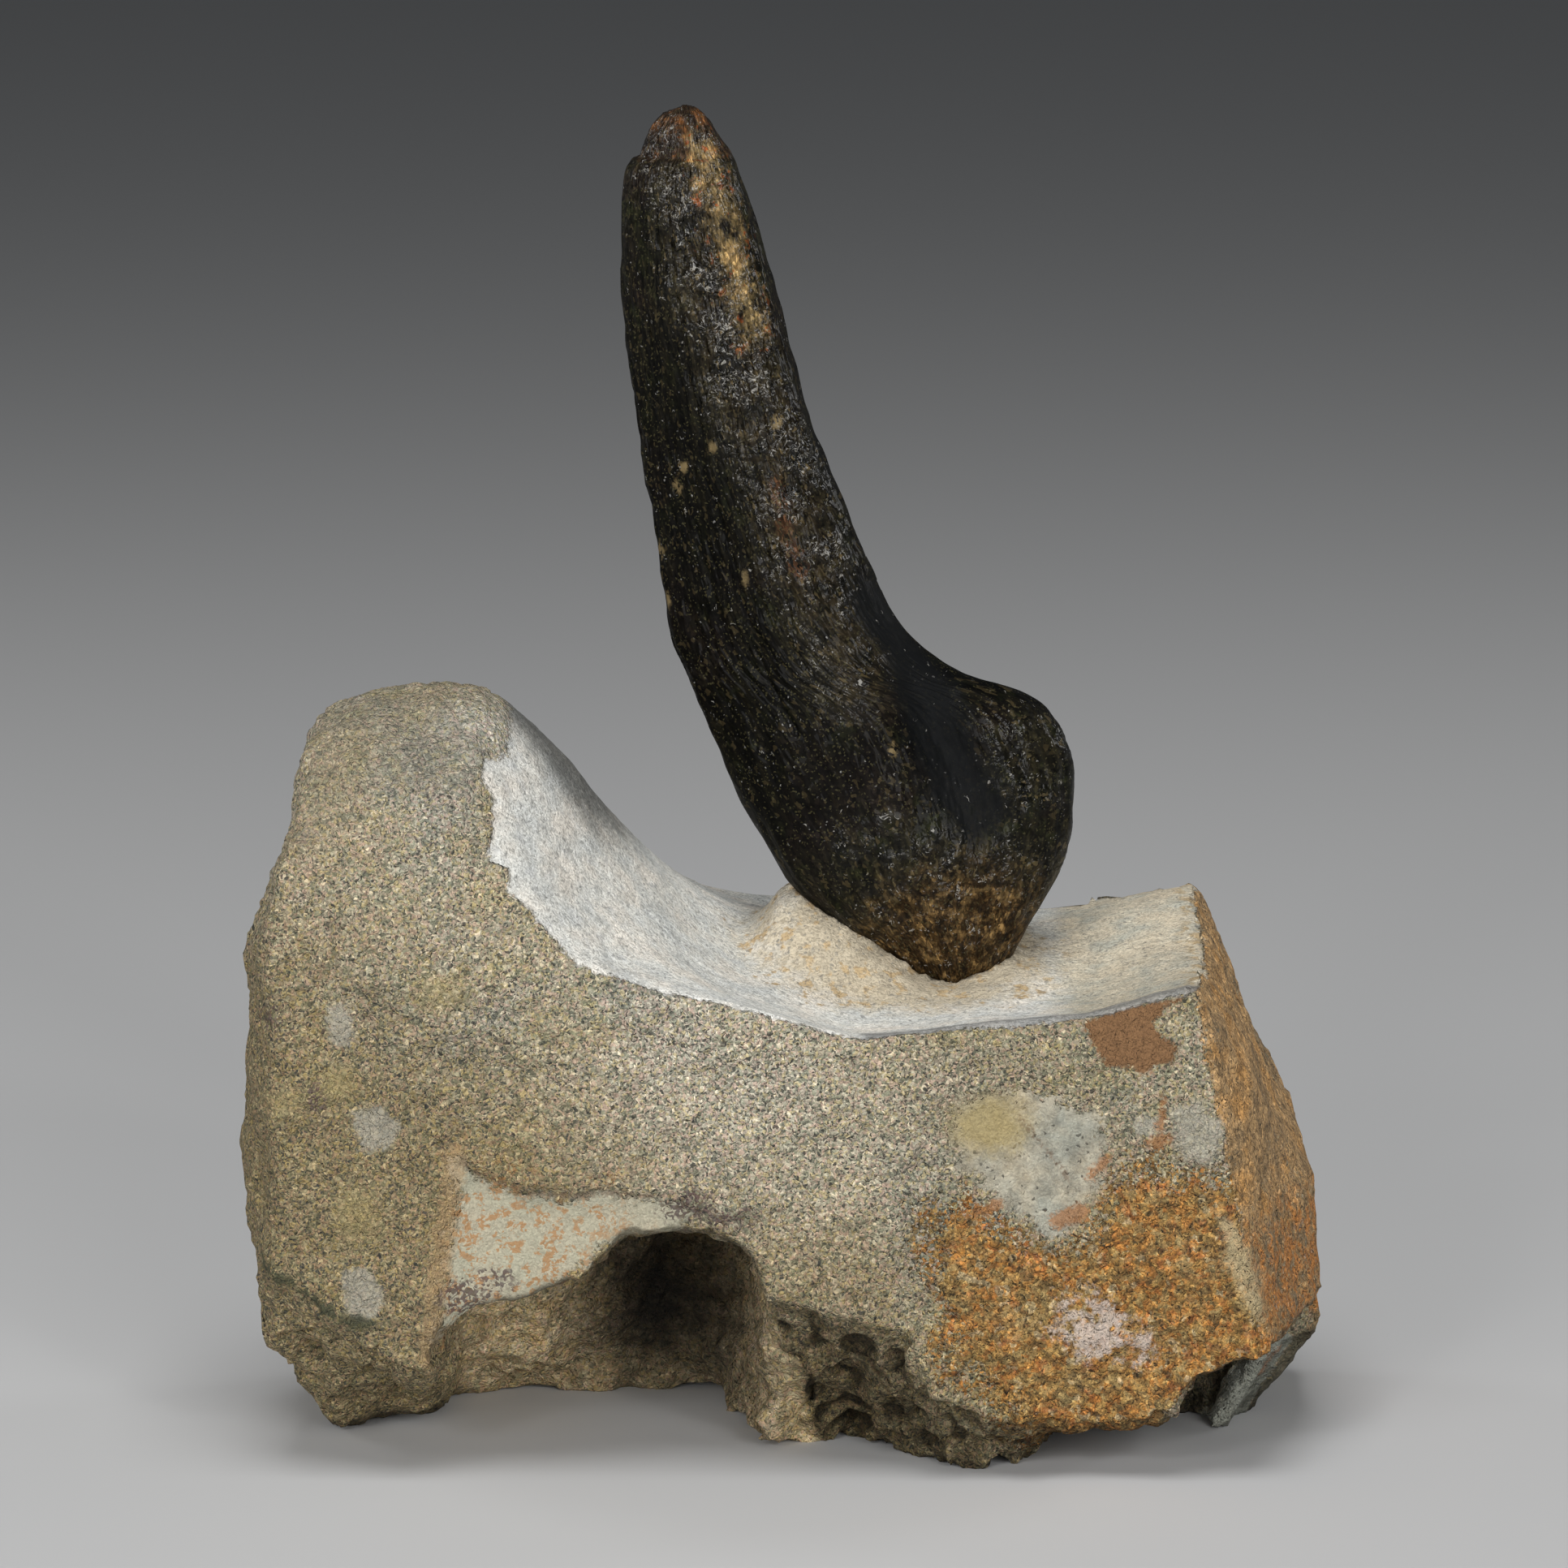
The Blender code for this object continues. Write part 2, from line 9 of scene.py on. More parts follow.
import math
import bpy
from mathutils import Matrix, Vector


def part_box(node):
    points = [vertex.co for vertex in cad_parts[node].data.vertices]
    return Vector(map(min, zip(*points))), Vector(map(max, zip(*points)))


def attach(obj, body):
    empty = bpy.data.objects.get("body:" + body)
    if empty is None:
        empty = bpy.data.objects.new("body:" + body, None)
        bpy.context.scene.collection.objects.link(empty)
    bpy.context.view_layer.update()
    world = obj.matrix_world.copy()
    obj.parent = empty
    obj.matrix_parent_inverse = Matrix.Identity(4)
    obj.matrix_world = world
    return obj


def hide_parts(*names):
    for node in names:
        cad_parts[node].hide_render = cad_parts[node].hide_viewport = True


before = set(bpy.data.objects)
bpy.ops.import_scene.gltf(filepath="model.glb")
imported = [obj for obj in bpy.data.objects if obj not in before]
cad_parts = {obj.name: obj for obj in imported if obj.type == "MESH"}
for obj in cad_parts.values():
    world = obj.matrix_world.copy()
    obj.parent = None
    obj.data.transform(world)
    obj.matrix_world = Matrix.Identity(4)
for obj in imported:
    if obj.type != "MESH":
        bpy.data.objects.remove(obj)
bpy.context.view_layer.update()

from types import SimpleNamespace

import bmesh
import bpy
import numpy as np
from mathutils import Vector, noise
from mathutils.bvhtree import BVHTree

MM = 0.001

# Camera: the photograph looks down a little from straight in front
IMAGE_SIDE_PX = 1932
PICTURE_SCALE = 0.12
CAMERA_FAR = 1200.0
CAMERA_DOWN = 10.0
CAMERA_TARGET_X, CAMERA_TARGET_Z = 0.2, 106.6
SENSOR = 36.0

# The front face of the block lies here
FRONT_Y = -39.4

# Places below are given as drawn, where the bone's left edge is at this x
DRAWN_LEFT = -24.91
DRAWING_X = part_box("fossil_bone")[0].x / MM - DRAWN_LEFT

# Edge of the whitened, ground-out scoop along the front, left to right, as (x, z), and how
# much further back counts as higher; its outline is closed far above all of it
SCOOP_EDGE = [(-44.8, 124.0), (-44.8, 110.8), (-42.9, 108.0), (-43.2, 102.2), (-43.8, 96.4), (-40.8, 95.5),
              (-40.8, 92.2), (-38.6, 89.4), (-36.8, 87.5), (-33.4, 83.5), (-30.7, 80.1), (-27.2, 78.9),
              (-21.9, 76.9), (-16.9, 75.2), (-10.3, 74.0), (-4.6, 72.8), (1.3, 71.2), (7.7, 69.8),
              (11.7, 69.0), (20.7, 69.4), (28.1, 70.2), (35.8, 70.6), (43.3, 71.6), (51.4, 73.6),
              (60.3, 76.2), (66.0, 78.0), (95.0, 84.0)]
SCOOP_BACKWARD = 0.45
ABOVE_ALL = 260.0

# Patches on the front face, as outlines (x, z)
IRON_STAIN = [(21.0, 41.4), (28.6, 42.6), (36.1, 38.7), (41.9, 36.4), (47.0, 40.8), (48.9, 46.3),
              (52.8, 48.2), (58.8, 48.0), (65.6, 46.5), (75.0, 46.0), (84.0, 30.0), (84.0, 4.0),
              (56.7, -4.0), (45.0, -4.0), (32.4, 9.5), (25.0, 18.3), (22.6, 28.2)]
GREEN_MUDSTONE = [(26.1, 58.1), (33.3, 59.8), (40.6, 58.9), (46.9, 56.5), (48.9, 51.8), (47.3, 45.4),
                  (44.3, 40.8), (41.0, 36.6), (36.1, 40.0), (31.2, 43.4), (26.7, 49.3), (24.9, 54.0)]
LEFT_FACET = [(-48.7, 50.3), (-45.6, 47.2), (-41.1, 45.2), (-37.4, 43.9), (-31.1, 43.6), (-26.1, 44.2),
              (-18.4, 43.7), (-14.0, 41.5), (-15.5, 36.5), (-27.0, 35.6), (-31.9, 30.5), (-38.1, 26.5),
              (-45.4, 25.0), (-51.9, 22.0), (-50.0, 35.6)]
BROWN_PEBBLE = [(44.8, 69.9), (47.7, 71.4), (51.3, 72.6), (54.3, 73.2), (59.4, 73.4), (55.1, 70.5),
                (56.0, 68.4), (59.2, 66.8), (58.1, 64.4), (54.3, 62.5), (51.4, 62.9), (48.4, 63.7),
                (46.9, 66.6)]
BLUE_CLASTS = [
    [(58.1, 57.4), (61.7, 58.4), (65.2, 55.6), (64.9, 48.7), (60.3, 49.4), (58.5, 53.2)],
    [(52.2, 55.5), (56.3, 55.8), (56.1, 53.5), (52.5, 53.6)],
    [(-64.3, 56.8), (-59.8, 57.7), (-57.2, 55.0), (-57.9, 51.6), (-63.5, 51.1)],
    [(-65.7, 31.7), (-62.4, 33.0), (-59.8, 29.5), (-60.7, 25.9), (-65.2, 25.3)],
    [(-67.7, 72.9), (-65.1, 73.5), (-63.8, 70.1), (-64.8, 66.5), (-67.2, 66.9)],
]
# Orange streaks between them, as (line, half width)
ORANGE_STREAKS = [([(40.6, 40.3), (45.0, 41.5)], 1.2), ([(45.9, 47.0), (48.6, 49.7)], 0.8),
                  ([(54.2, 52.0), (57.2, 52.7)], 0.8), ([(56.2, 52.9), (57.2, 58.4)], 0.35),
                  ([(29.2, 41.6), (31.6, 42.4)], 1.0)]
PALE_STRIP = [(65.2, 41.0), (67.6, 39.5), (71.6, 30.5), (72.0, 24.5), (69.4, 27.0), (66.3, 35.0)]
# Rib left of the facet and the seam above it
RIB_LINE = [(-48.7, 50.5), (-50.8, 36.0), (-53.2, 18.0)]
SEAM_LINE = [(-47.5, 49.0), (-45.6, 47.2), (-41.1, 45.2), (-37.4, 43.9), (-31.1, 43.6), (-26.1, 44.2),
             (-18.4, 43.9)]
SCRATCH_LINE = [(35.2, 56.0), (38.6, 52.0), (42.9, 46.4)]
# Mossy crack across the foot of the block at the left
LEDGE_CRACK = [(-78.5, 33.5), (-72.0, 28.6), (-66.9, 25.1), (-61.0, 24.4)]
# Slab in the notch at the lower right, seen from the front, and the orange streak on it
SLAB_LINE = [(75.9, 13.0), (67.7, 0.0)]
SLAB_HALF = 2.9
SLAB_STREAK = [(76.2, 12.4), (73.6, 7.6)]
# Planes of the right face: a place on each and the way that it faces, with y from the front
RIGHT_PLANES = [((61.5, 0.0, 77.0), (0.914, -0.356, 0.193)),
                ((61.3, 0.0, 76.6), (0.903, -0.068, 0.424)),
                ((82.0, 38.0, 32.0), (0.99, 0.06, 0.08))]
# Grey stripe of painted shade on the scoop's left flank, as seen by the camera: a place on its
# border and the way across, and how far up and right the white flank ends beside it
STRIPE_PLACE, STRIPE_WAY = (-38.9, 8.4), (0.80, 0.60)
WHITE_TOP, WHITE_TOP_RIGHT = 4.4, -40.2
# Pale dust on the shoulder above it, seen in the same way
DUST_PLACE, DUST_REACH = (-43.0, 9.5), 5.0
PALE_CRUSTS = [
    [(41.4, 28.2), (46.8, 29.5), (51.1, 25.2), (49.9, 18.8), (44.5, 19.7), (40.8, 23.2)],
    [(51.1, 22.0), (54.8, 22.8), (55.4, 18.9), (52.4, 17.7)],
]

# Darkest place of the painted shade in the hollow as the camera sees it, and how far that
# painted shade reaches left, right and up or down
DARK_PLACE, DARK_DEPTH = (-19.3, -78.5), 4.8
DARK_LEFT, DARK_RIGHT, DARK_UP = 6.4, 10.0, 12.0
# Foot of the bone in the rock, for the ochre band left round it
BONE_FOOT, OCHRE_REACH = (18.0, 5.6, 72.0), 20.0

# Small clasts and marks on the front face, as (x, z, half width, half height)
MAROON_MARKS = [(-14.2, 42.2, 3.6, 2.2), (-8.0, 40.8, 3.4, 1.9), (-47.3, 28.2, 3.2, 2.6),
                (-76.3, 70.9, 1.4, 1.6), (-69.4, 58.8, 0.9, 2.2), (-43.2, 30.6, 2.6, 1.8)]
OLIVE_MARKS = [(-73.9, 58.2, 2.6, 1.6), (-66.6, 60.7, 3.2, 2.4), (-63.5, 41.0, 3.4, 4.0),
               (-50.5, 75.0, 3.0, 2.4)]
YELLOW_STAIN = (30.8, 54.8, 6.0, 4.2)

# Finish of the rock
ROCK_GRID = 1.42
REFINE_ABOVE, REFINE_BEFORE = 50.0, 30.0
ROCK_MELT, ROCK_CREASE = 7, 0.07
ROCK_BROAD = [(13.0, 0.9), (5.0, 0.5)]
ROCK_CHIPS = [(6.5, 0.5), (2.6, 0.35)]
ROCK_GRAINS = [(1.5, 0.5)]
SCOOP_GRAINS = [(9.0, 0.3), (1.8, 0.15)]
WALL_LUMPS = [(6.0, 1.8), (2.6, 1.1), (1.5, 0.5)]
WALL_EDGE = [(9.0, 2.4), (3.2, 1.0)]
UNDERCUT_CRAGS = [(7.0, 1.7), (3.0, 0.9)]
WANDER_SEATS = (0.0, 41.3, 97.7)
EDGE_WANDER = [(5.0, 0.7), (2.2, 0.5)]
BROKEN_WANDER = [(8.0, 2.0), (3.4, 1.4), (1.7, 0.7)]
SCOOP_STEP = 0.35
SHOULDER_DROP = 0.9
CONTACT_REACH, CONTACT_OVERLAP = 2.2, 0.2

# Lines and places on the front of the bone, as (x, y, z)
RIDGE = [(-14.0, -1.0, 194.9), (-12.2, -2.1, 182.7), (-7.3, -2.4, 164.3), (-0.8, -2.6, 149.5),
         (4.4, -3.3, 133.5), (11.8, -4.1, 117.4)]
OCHRE_BAND = [(-11.8, 0.7, 197.0), (-9.7, -0.5, 188.8), (-7.3, -0.6, 181.4), (-4.8, -1.1, 170.4)]
RUST_STREAK = [(-0.8, -3.0, 145.8), (0.5, -3.3, 139.7), (2.5, -3.8, 133.0)]
EDGE_STREAK = [(-18.9, 6.3, 134.6), (-17.7, 6.2, 127.0)]
OCHRE_SPECKS = [(-1.1, -2.0, 155.6), (-10.6, 0.1, 151.6), (-15.1, 2.8, 148.2), (-5.8, -0.6, 131.2),
                (-16.0, 3.6, 144.9), (16.7, -4.9, 105.7)]
CRACK = [(-4.3, -0.5, 120.6), (-3.1, -0.8, 117.9), (-0.9, -1.8, 113.5), (2.3, -3.2, 107.8)]
FLUTE = [(14.9, 1.5, 127.0), (18.9, 2.7, 122.0), (21.2, -0.2, 115.8), (23.6, -1.6, 107.9),
         (26.4, -2.7, 100.4), (29.8, -3.1, 96.0)]
COARSE_FOOT = (27.0, -1.0, 84.0)
FOOT_END = (27.0, 2.0, 73.0)
LOBE = (37.0, 0.5, 103.0)
CAP_STEP_Z = 195.2

# Finish of the bone
BONE_GRID = 0.42
BONE_MELT, BONE_CREASE = 18, 0.12
FIBRE_STRETCH = 0.12
FIBRES = [(1.5, 0.28), (0.9, 0.18)]
WRINKLES = [(2.6, 0.55), (1.3, 0.38)]
BONE_LUMPS = [(9.0, 0.35), (3.5, 0.2)]
TIP_X, TIP_HALF, TIP_LIFT = -13.6, 5.2, 0.75
FLUTE_DEPTH, FLUTE_HALF = 0.9, 8.0

# Size of the rock's grains as painted, and how far ragged borders wander
GRAIN, FINE_GRAIN, CLUMP = 0.44, 0.29, 1.0
MARK_REACH, CRISP_REACH = 3.6, 0.6

# Colours of the rock, each ramp as (value, colour)
GROUND = [(0.38, (0.335, 0.315, 0.265)), (0.5, (0.365, 0.33, 0.255)), (0.62, (0.35, 0.305, 0.22))]
YELLOW_TINGE, PINK_TINGE = (0.35, 0.305, 0.165), (0.36, 0.30, 0.265)
PALE_BLOTCH, DARK_BLOTCH = (0.47, 0.38, 0.30), (0.23, 0.235, 0.195)
PALE_MIDDLE, BROWN_CORNER, DUST = (0.50, 0.455, 0.38), (0.235, 0.185, 0.098), (0.47, 0.455, 0.41)
SALT = [(0.0, (0.46, 0.50, 0.47)), (0.08, (0.70, 0.76, 0.68)), (0.24, (0.94, 0.90, 0.86)),
        (0.44, (1.12, 1.04, 0.76)), (0.60, (1.16, 0.98, 0.94)), (0.76, (1.08, 1.12, 1.06)),
        (0.88, (1.38, 1.36, 1.28)), (0.965, (1.80, 1.72, 1.55))]
PEPPER, BLACK_GRAIN = (0.045, 0.047, 0.042), (0.03, 0.03, 0.028)
# Painted shade: the first dims the front towards the right, the second dims high upward faces, whose grain
# is also calmer from weathering
RIGHT_SHADE_DIMMED, TOP_SHADE_DIMMED = (0.87, 0.855, 0.81), (0.80, 0.79, 0.76)
# The right face's browns are made lighter to stand in for light from the right: painted light over its own
# brown
RIGHT_BROWN = [(0.33, (0.28, 0.18, 0.085)), (0.5, (0.45, 0.275, 0.12)), (0.66, (0.52, 0.27, 0.085))]
RIGHT_ORANGE, RIGHT_DOT = (0.40, 0.16, 0.035), (0.075, 0.055, 0.035)
RUST_CLUMPS = [(0.0, (0.16, 0.095, 0.035)), (0.10, (0.27, 0.165, 0.055)), (0.28, (0.37, 0.225, 0.07)),
               (0.48, (0.41, 0.195, 0.045)), (0.66, (0.40, 0.165, 0.035)), (0.80, (0.35, 0.25, 0.105)),
               (0.93, (0.47, 0.38, 0.24))]
RUST_BLOTCHES = [(0.38, (0.30, 0.215, 0.085)), (0.54, (0.44, 0.19, 0.04))]
DEEP_RUST, OLIVE_RUST, PALE_RUST = (0.40, 0.125, 0.03), (0.25, 0.195, 0.09), (0.42, 0.33, 0.17)
RUST_DIMMED = (0.84, 0.80, 0.70)
MUD = [(0.34, (0.29, 0.29, 0.24)), (0.5, (0.34, 0.315, 0.245)), (0.66, (0.36, 0.31, 0.22))]
PALE_MUD = [(0.35, (0.385, 0.375, 0.28)), (0.65, (0.425, 0.38, 0.28))]
MUD_DOT, FACET_SPOT = (0.06, 0.055, 0.045), (0.36, 0.185, 0.07)
MAROON, CRUST = (0.075, 0.055, 0.055), (0.56, 0.475, 0.41)
# The hollow's wall colours below are much lighter than the stone: painted light on the wall's lower part,
# over its own mottle
WALL = [(0.36, (0.66, 0.51, 0.30)), (0.5, (0.96, 0.79, 0.52)), (0.64, (1.0, 0.76, 0.43))]
# The last colour on the next line is painted shade for the undercut, the notch and under overhangs
PALE_WALL, DARK_WALL, RECESS_SHADE = (1.15, 0.92, 0.70), (0.30, 0.24, 0.14), (0.085, 0.075, 0.045)
CHALK = [(0.36, (0.60, 0.61, 0.585)), (0.5, (0.68, 0.67, 0.62)), (0.64, (0.75, 0.705, 0.63))]
GREY_CHALK, CHALK_DOT = (0.52, 0.53, 0.53), (0.14, 0.145, 0.14)
OCHRE_CHALK, OCHRE_FRECKLE = (0.40, 0.33, 0.22), (0.42, 0.31, 0.175)
# The first colour on the next line is painted shade for the stripe on the scoop's flank
STRIPE_SHADE_GREY, RIM_BROWN, RIM_GREY = (0.115, 0.118, 0.112), (0.36, 0.25, 0.12), (0.215, 0.215, 0.21)
PLATEAU = [(0.36, (0.42, 0.41, 0.34)), (0.5, (0.53, 0.475, 0.365)), (0.64, (0.58, 0.50, 0.37))]

# Small marks on the rock, as (name, share, softness of the border, colour), laid in this order
MARKS = [
    ("slate", 0.7, 0.8, (0.355, 0.335, 0.275)),
    ("olive", 0.5, 2.4, (0.36, 0.29, 0.13)),
    ("yellow", 0.85, 2.0, (0.32, 0.25, 0.11)),
    ("orange_mark", 0.75, 0.5, (0.31, 0.135, 0.045)),
    ("strip", 0.75, 1.0, (0.44, 0.36, 0.21)),
    ("rib", 0.6, 0.8, (0.38, 0.26, 0.135)),
    ("seam", 0.6, 0.3, (0.14, 0.09, 0.055)),
    ("brown", 1.0, 0.4, (0.20, 0.106, 0.047)),
    # Painted shade on downward faces in the lower right corner
    ("shaded_under_corner", 0.85, 1.5, (0.15, 0.135, 0.09)),
    ("slab", 0.95, 0.4, (0.285, 0.295, 0.25)),
    ("slab_streak", 0.8, 0.4, (0.42, 0.23, 0.13)),
    ("moss", 0.85, 0.6, (0.05, 0.055, 0.03)),
]
CRISP_MARKS = ("seam", "slab", "slab_streak")

# Colours of the bone, in the same form
BONE_FIBRES = [(0.34, (0.003, 0.003, 0.002)), (0.5, (0.009, 0.008, 0.005)), (0.66, (0.024, 0.020, 0.010))]
BONE_OLIVE, BONE_PURPLE = (0.018, 0.020, 0.007), (0.020, 0.012, 0.010)
BONE_RIDGE = [(0.4, (0.005, 0.0045, 0.003)), (0.6, (0.027, 0.019, 0.010))]
FOOT_FIBRES = [(0.36, (0.014, 0.008, 0.003)), (0.52, (0.036, 0.021, 0.008)), (0.66, (0.105, 0.064, 0.026))]
FOOT_MOTTLE = [(0.38, (0.008, 0.005, 0.002)), (0.5, (0.035, 0.02, 0.008)), (0.62, (0.23, 0.155, 0.07))]
FOOT_DIMMED = (0.92, 0.84, 0.70)
BONE_CAP = [(0.40, (0.018, 0.012, 0.008)), (0.54, (0.050, 0.028, 0.015)), (0.64, (0.20, 0.08, 0.025))]
BONE_TAN = [(0.36, (0.04, 0.03, 0.016)), (0.5, (0.17, 0.12, 0.052)), (0.62, (0.32, 0.205, 0.08))]
TAN_RED, BONE_RUST, OCHRE_SPECK = (0.26, 0.075, 0.02), (0.10, 0.042, 0.018), (0.22, 0.16, 0.075)
TAN_GRAIN, OLIVE_GRAIN, FLUTE_BLACK = (0.15, 0.11, 0.05), (0.07, 0.062, 0.028), (0.005, 0.0055, 0.006)
# Pale lines and dots painted as glints: painted highlights
GLINT_LINE_PAINTED, GLINT_DOT_PAINTED = (0.42, 0.40, 0.36), (0.36, 0.35, 0.33)

# Soft lights, as (name, place in metres, side, watts), and the place that they face
LIGHTS_AIM = (0, 0, 0.08)
LIGHTS = [
    ("right front", (0.62, -1.52, 0.46), 0.85, 12.6),
    ("left front", (-0.80, -1.45, 0.49), 0.85, 11.8),
    ("top", (-0.05, -0.35, 1.15), 0.6, 7.0),
    ("left rim", (-0.9, 0.45, 0.4), 0.3, 1.6),
    ("right rim", (0.9, 0.45, 0.4), 0.3, 1.6),
    ("left glint", (-0.35, -0.9, 0.55), 0.1, 0.9),
    ("right glint", (0.35, -0.9, 0.55), 0.1, 0.9),
]


def smooth_step(low, high, value):
    t = np.clip((value - low) / (high - low), 0, 1)
    return t * t * (3 - 2 * t)


def merged_copy(node, name):
    """A new object with the node's mesh, its loose triangles joined."""
    bm = bmesh.new()
    bm.from_mesh(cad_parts[node].data)
    bmesh.ops.remove_doubles(bm, verts=bm.verts, dist=1e-6)
    mesh = bpy.data.meshes.new(name)
    bm.to_mesh(mesh)
    bm.free()
    piece = bpy.data.objects.new(name, mesh)
    bpy.context.scene.collection.objects.link(piece)
    return piece


def settle(piece):
    """Applies the object's modifiers."""
    bpy.context.view_layer.update()
    graph = bpy.context.evaluated_depsgraph_get()
    mesh = bpy.data.meshes.new_from_object(piece.evaluated_get(graph))
    piece.modifiers.clear()
    piece.data = mesh


def remesh(piece, grid):
    modifier = piece.modifiers.new("even grid", "REMESH")
    modifier.mode = "VOXEL"
    modifier.voxel_size = grid * MM
    settle(piece)


def places(piece):
    """The points of the mesh, in millimetres."""
    found = np.empty(len(piece.data.vertices) * 3, np.float32)
    piece.data.vertices.foreach_get("co", found)
    return found.reshape(-1, 3).astype(float) / MM


def normals(piece):
    found = np.empty(len(piece.data.vertices) * 3, np.float32)
    piece.data.vertices.foreach_get("normal", found)
    return found.reshape(-1, 3).astype(float)


def put(piece, points):
    piece.data.vertices.foreach_set("co", (points * MM).astype(np.float32).ravel())
    piece.data.update()


def melt(piece, rounds, crease):
    """Smooths away facets but keeps what bends more sharply than the crease, in millimetres."""
    edges = np.empty(len(piece.data.edges) * 2, np.int32)
    piece.data.edges.foreach_get("vertices", edges)
    one, two = edges.reshape(-1, 2).T
    points = places(piece)
    count = np.bincount(np.concatenate([one, two]), minlength=len(points))[:, None]
    for _ in range(rounds):
        pull = np.zeros_like(points)
        for axis in range(3):
            pull[:, axis] += np.bincount(one, points[two, axis], len(points))
            pull[:, axis] += np.bincount(two, points[one, axis], len(points))
        pull = pull / count - points
        bend = np.linalg.norm(pull, axis=1, keepdims=True)
        points += 0.6 * pull / (1 + (bend / crease) ** 2)
    put(piece, points)


def lumps(points, bands, seat=0.0):
    """Sum of noise at the points, from bands of (wavelength, height)."""
    total = np.zeros(len(points))
    for wave, height in bands:
        at = points / wave + seat
        total += height * np.array([noise.noise(Vector(p)) for p in at])
    return total


def folds(points, bands, seat=0.0):
    """Rounded folds that meet in sharp furrows."""
    total = np.zeros(len(points))
    for wave, height in bands:
        at = points / wave + seat
        total += height * (np.abs([noise.noise(Vector(p)) for p in at]) * 2 - 0.4)
    return total


def chips(points, bands, seat=0.0):
    """Flat chips that meet in creases: the distance to the nearest of scattered centres."""
    total = np.zeros(len(points))
    for wave, height in bands:
        at = points / wave + seat
        total += height * (np.array([noise.voronoi(Vector(p))[0][0] for p in at]) - 0.5)
    return total


def wander(points, bands, seat=0.0):
    """A shift of each point in all three ways, which makes edges ragged."""
    return np.column_stack([lumps(points, bands, seat + way) for way in WANDER_SEATS])


def inside(x, z, outline):
    """Distance inside a closed outline, negative outside it."""
    nearest = np.full(len(x), 1e9)
    crossings = np.zeros(len(x), int)
    for (x0, z0), (x1, z1) in zip(outline, outline[1:] + outline[:1]):
        nearest = np.minimum(nearest, to_segment(x, z, x0, z0, x1, z1))
        spans = (z0 > z) != (z1 > z)
        at = x0 + (z - z0) * (x1 - x0) / (z1 - z0 if z1 != z0 else 1.0)
        crossings += spans & (x < at)
    return np.where(crossings % 2 == 1, nearest, -nearest)


def to_segment(x, z, x0, z0, x1, z1):
    along = ((x - x0) * (x1 - x0) + (z - z0) * (z1 - z0)) / ((x1 - x0) ** 2 + (z1 - z0) ** 2)
    along = np.clip(along, 0, 1)
    return np.hypot(x - x0 - along * (x1 - x0), z - z0 - along * (z1 - z0))


def from_line(points, line):
    """Distance from a line through places in space."""
    nearest = np.full(len(points), 1e9)
    for start, end in zip(np.array(line[:-1]), np.array(line[1:])):
        way = end - start
        along = np.clip((points - start) @ way / (way @ way), 0, 1)
        nearest = np.minimum(nearest, np.linalg.norm(points - start - along[:, None] * way, axis=1))
    return nearest


def drawn(points):
    """The points as drawn, where the places above are given."""
    return points - np.array([DRAWING_X, 0.0, 0.0])


def in_picture(x, behind, z):
    """How far across and up from the camera's target a place shows, at the front face's scale."""
    tilt = math.radians(CAMERA_DOWN)
    shrink = CAMERA_FAR / (CAMERA_FAR + behind * math.cos(tilt))
    return x * shrink, ((z - CAMERA_TARGET_Z) * math.cos(tilt) + behind * math.sin(tilt)) * shrink


def from_path(x, z, path):
    """Distance from a line drawn on the front, as (x, z)."""
    return np.min([to_segment(x, z, *one, *two) for one, two in zip(path, path[1:])], axis=0)


def from_place(points, place, stretch=(1, 1, 1)):
    return np.linalg.norm((points - place) / stretch, axis=1)


def marks(x, z, spots):
    """Distance inside the nearest of some oval marks."""
    depths = [min(w, h) * (1 - np.hypot((x - cx) / w, (z - cz) / h)) for cx, cz, w, h in spots]
    return np.max(depths, axis=0)


def keep(piece, name, values):
    """Stores one value for each point, for the material to read."""
    layer = piece.data.attributes.new(name, "FLOAT", "POINT")
    layer.data.foreach_set("value", values.astype(np.float32))


def shader(tree, kind, inputs=None, **settings):
    """A shader node. Inputs are sockets of other nodes or plain values."""
    node = tree.nodes.new("ShaderNode" + kind)
    for name, value in settings.items():
        setattr(node, name, value)
    for name, value in (inputs or {}).items():
        if isinstance(value, bpy.types.NodeSocket):
            tree.links.new(value, node.inputs[name])
        else:
            node.inputs[name].default_value = value
    return node


def grey_noise(tree, place, wave, detail=2.0, rough=0.5, warp=0.0):
    """Noise between 0 and 1, with its wavelength in millimetres."""
    inputs = {"Vector": place, "Scale": 1 / wave, "Detail": detail, "Roughness": rough, "Distortion": warp}
    return shader(tree, "TexNoise", inputs).outputs["Fac"]


def grains(tree, place, size):
    """Random colour of each grain, and the distance from its middle."""
    cells = shader(tree, "TexVoronoi", {"Vector": place, "Scale": 1 / size})
    return cells.outputs["Color"], cells.outputs["Distance"]


def maths(tree, operation, a, b=0.0, c=0.0):
    node = shader(tree, "Math", {0: a, 1: b, 2: c}, operation=operation)
    return node.outputs[0]


def ramp(tree, value, stops, mode="LINEAR"):
    """Colours by value, as (place, (red, green, blue)) or (place, grey)."""
    node = shader(tree, "ValToRGB", {"Fac": value})
    node.color_ramp.interpolation = mode
    elements = node.color_ramp.elements
    while len(elements) < len(stops):
        elements.new(1.0)
    for element, (place, colour) in zip(elements, stops):
        element.position = place
        element.color = (*colour, 1.0) if isinstance(colour, tuple) else (colour, colour, colour, 1.0)
    return node.outputs["Color"]


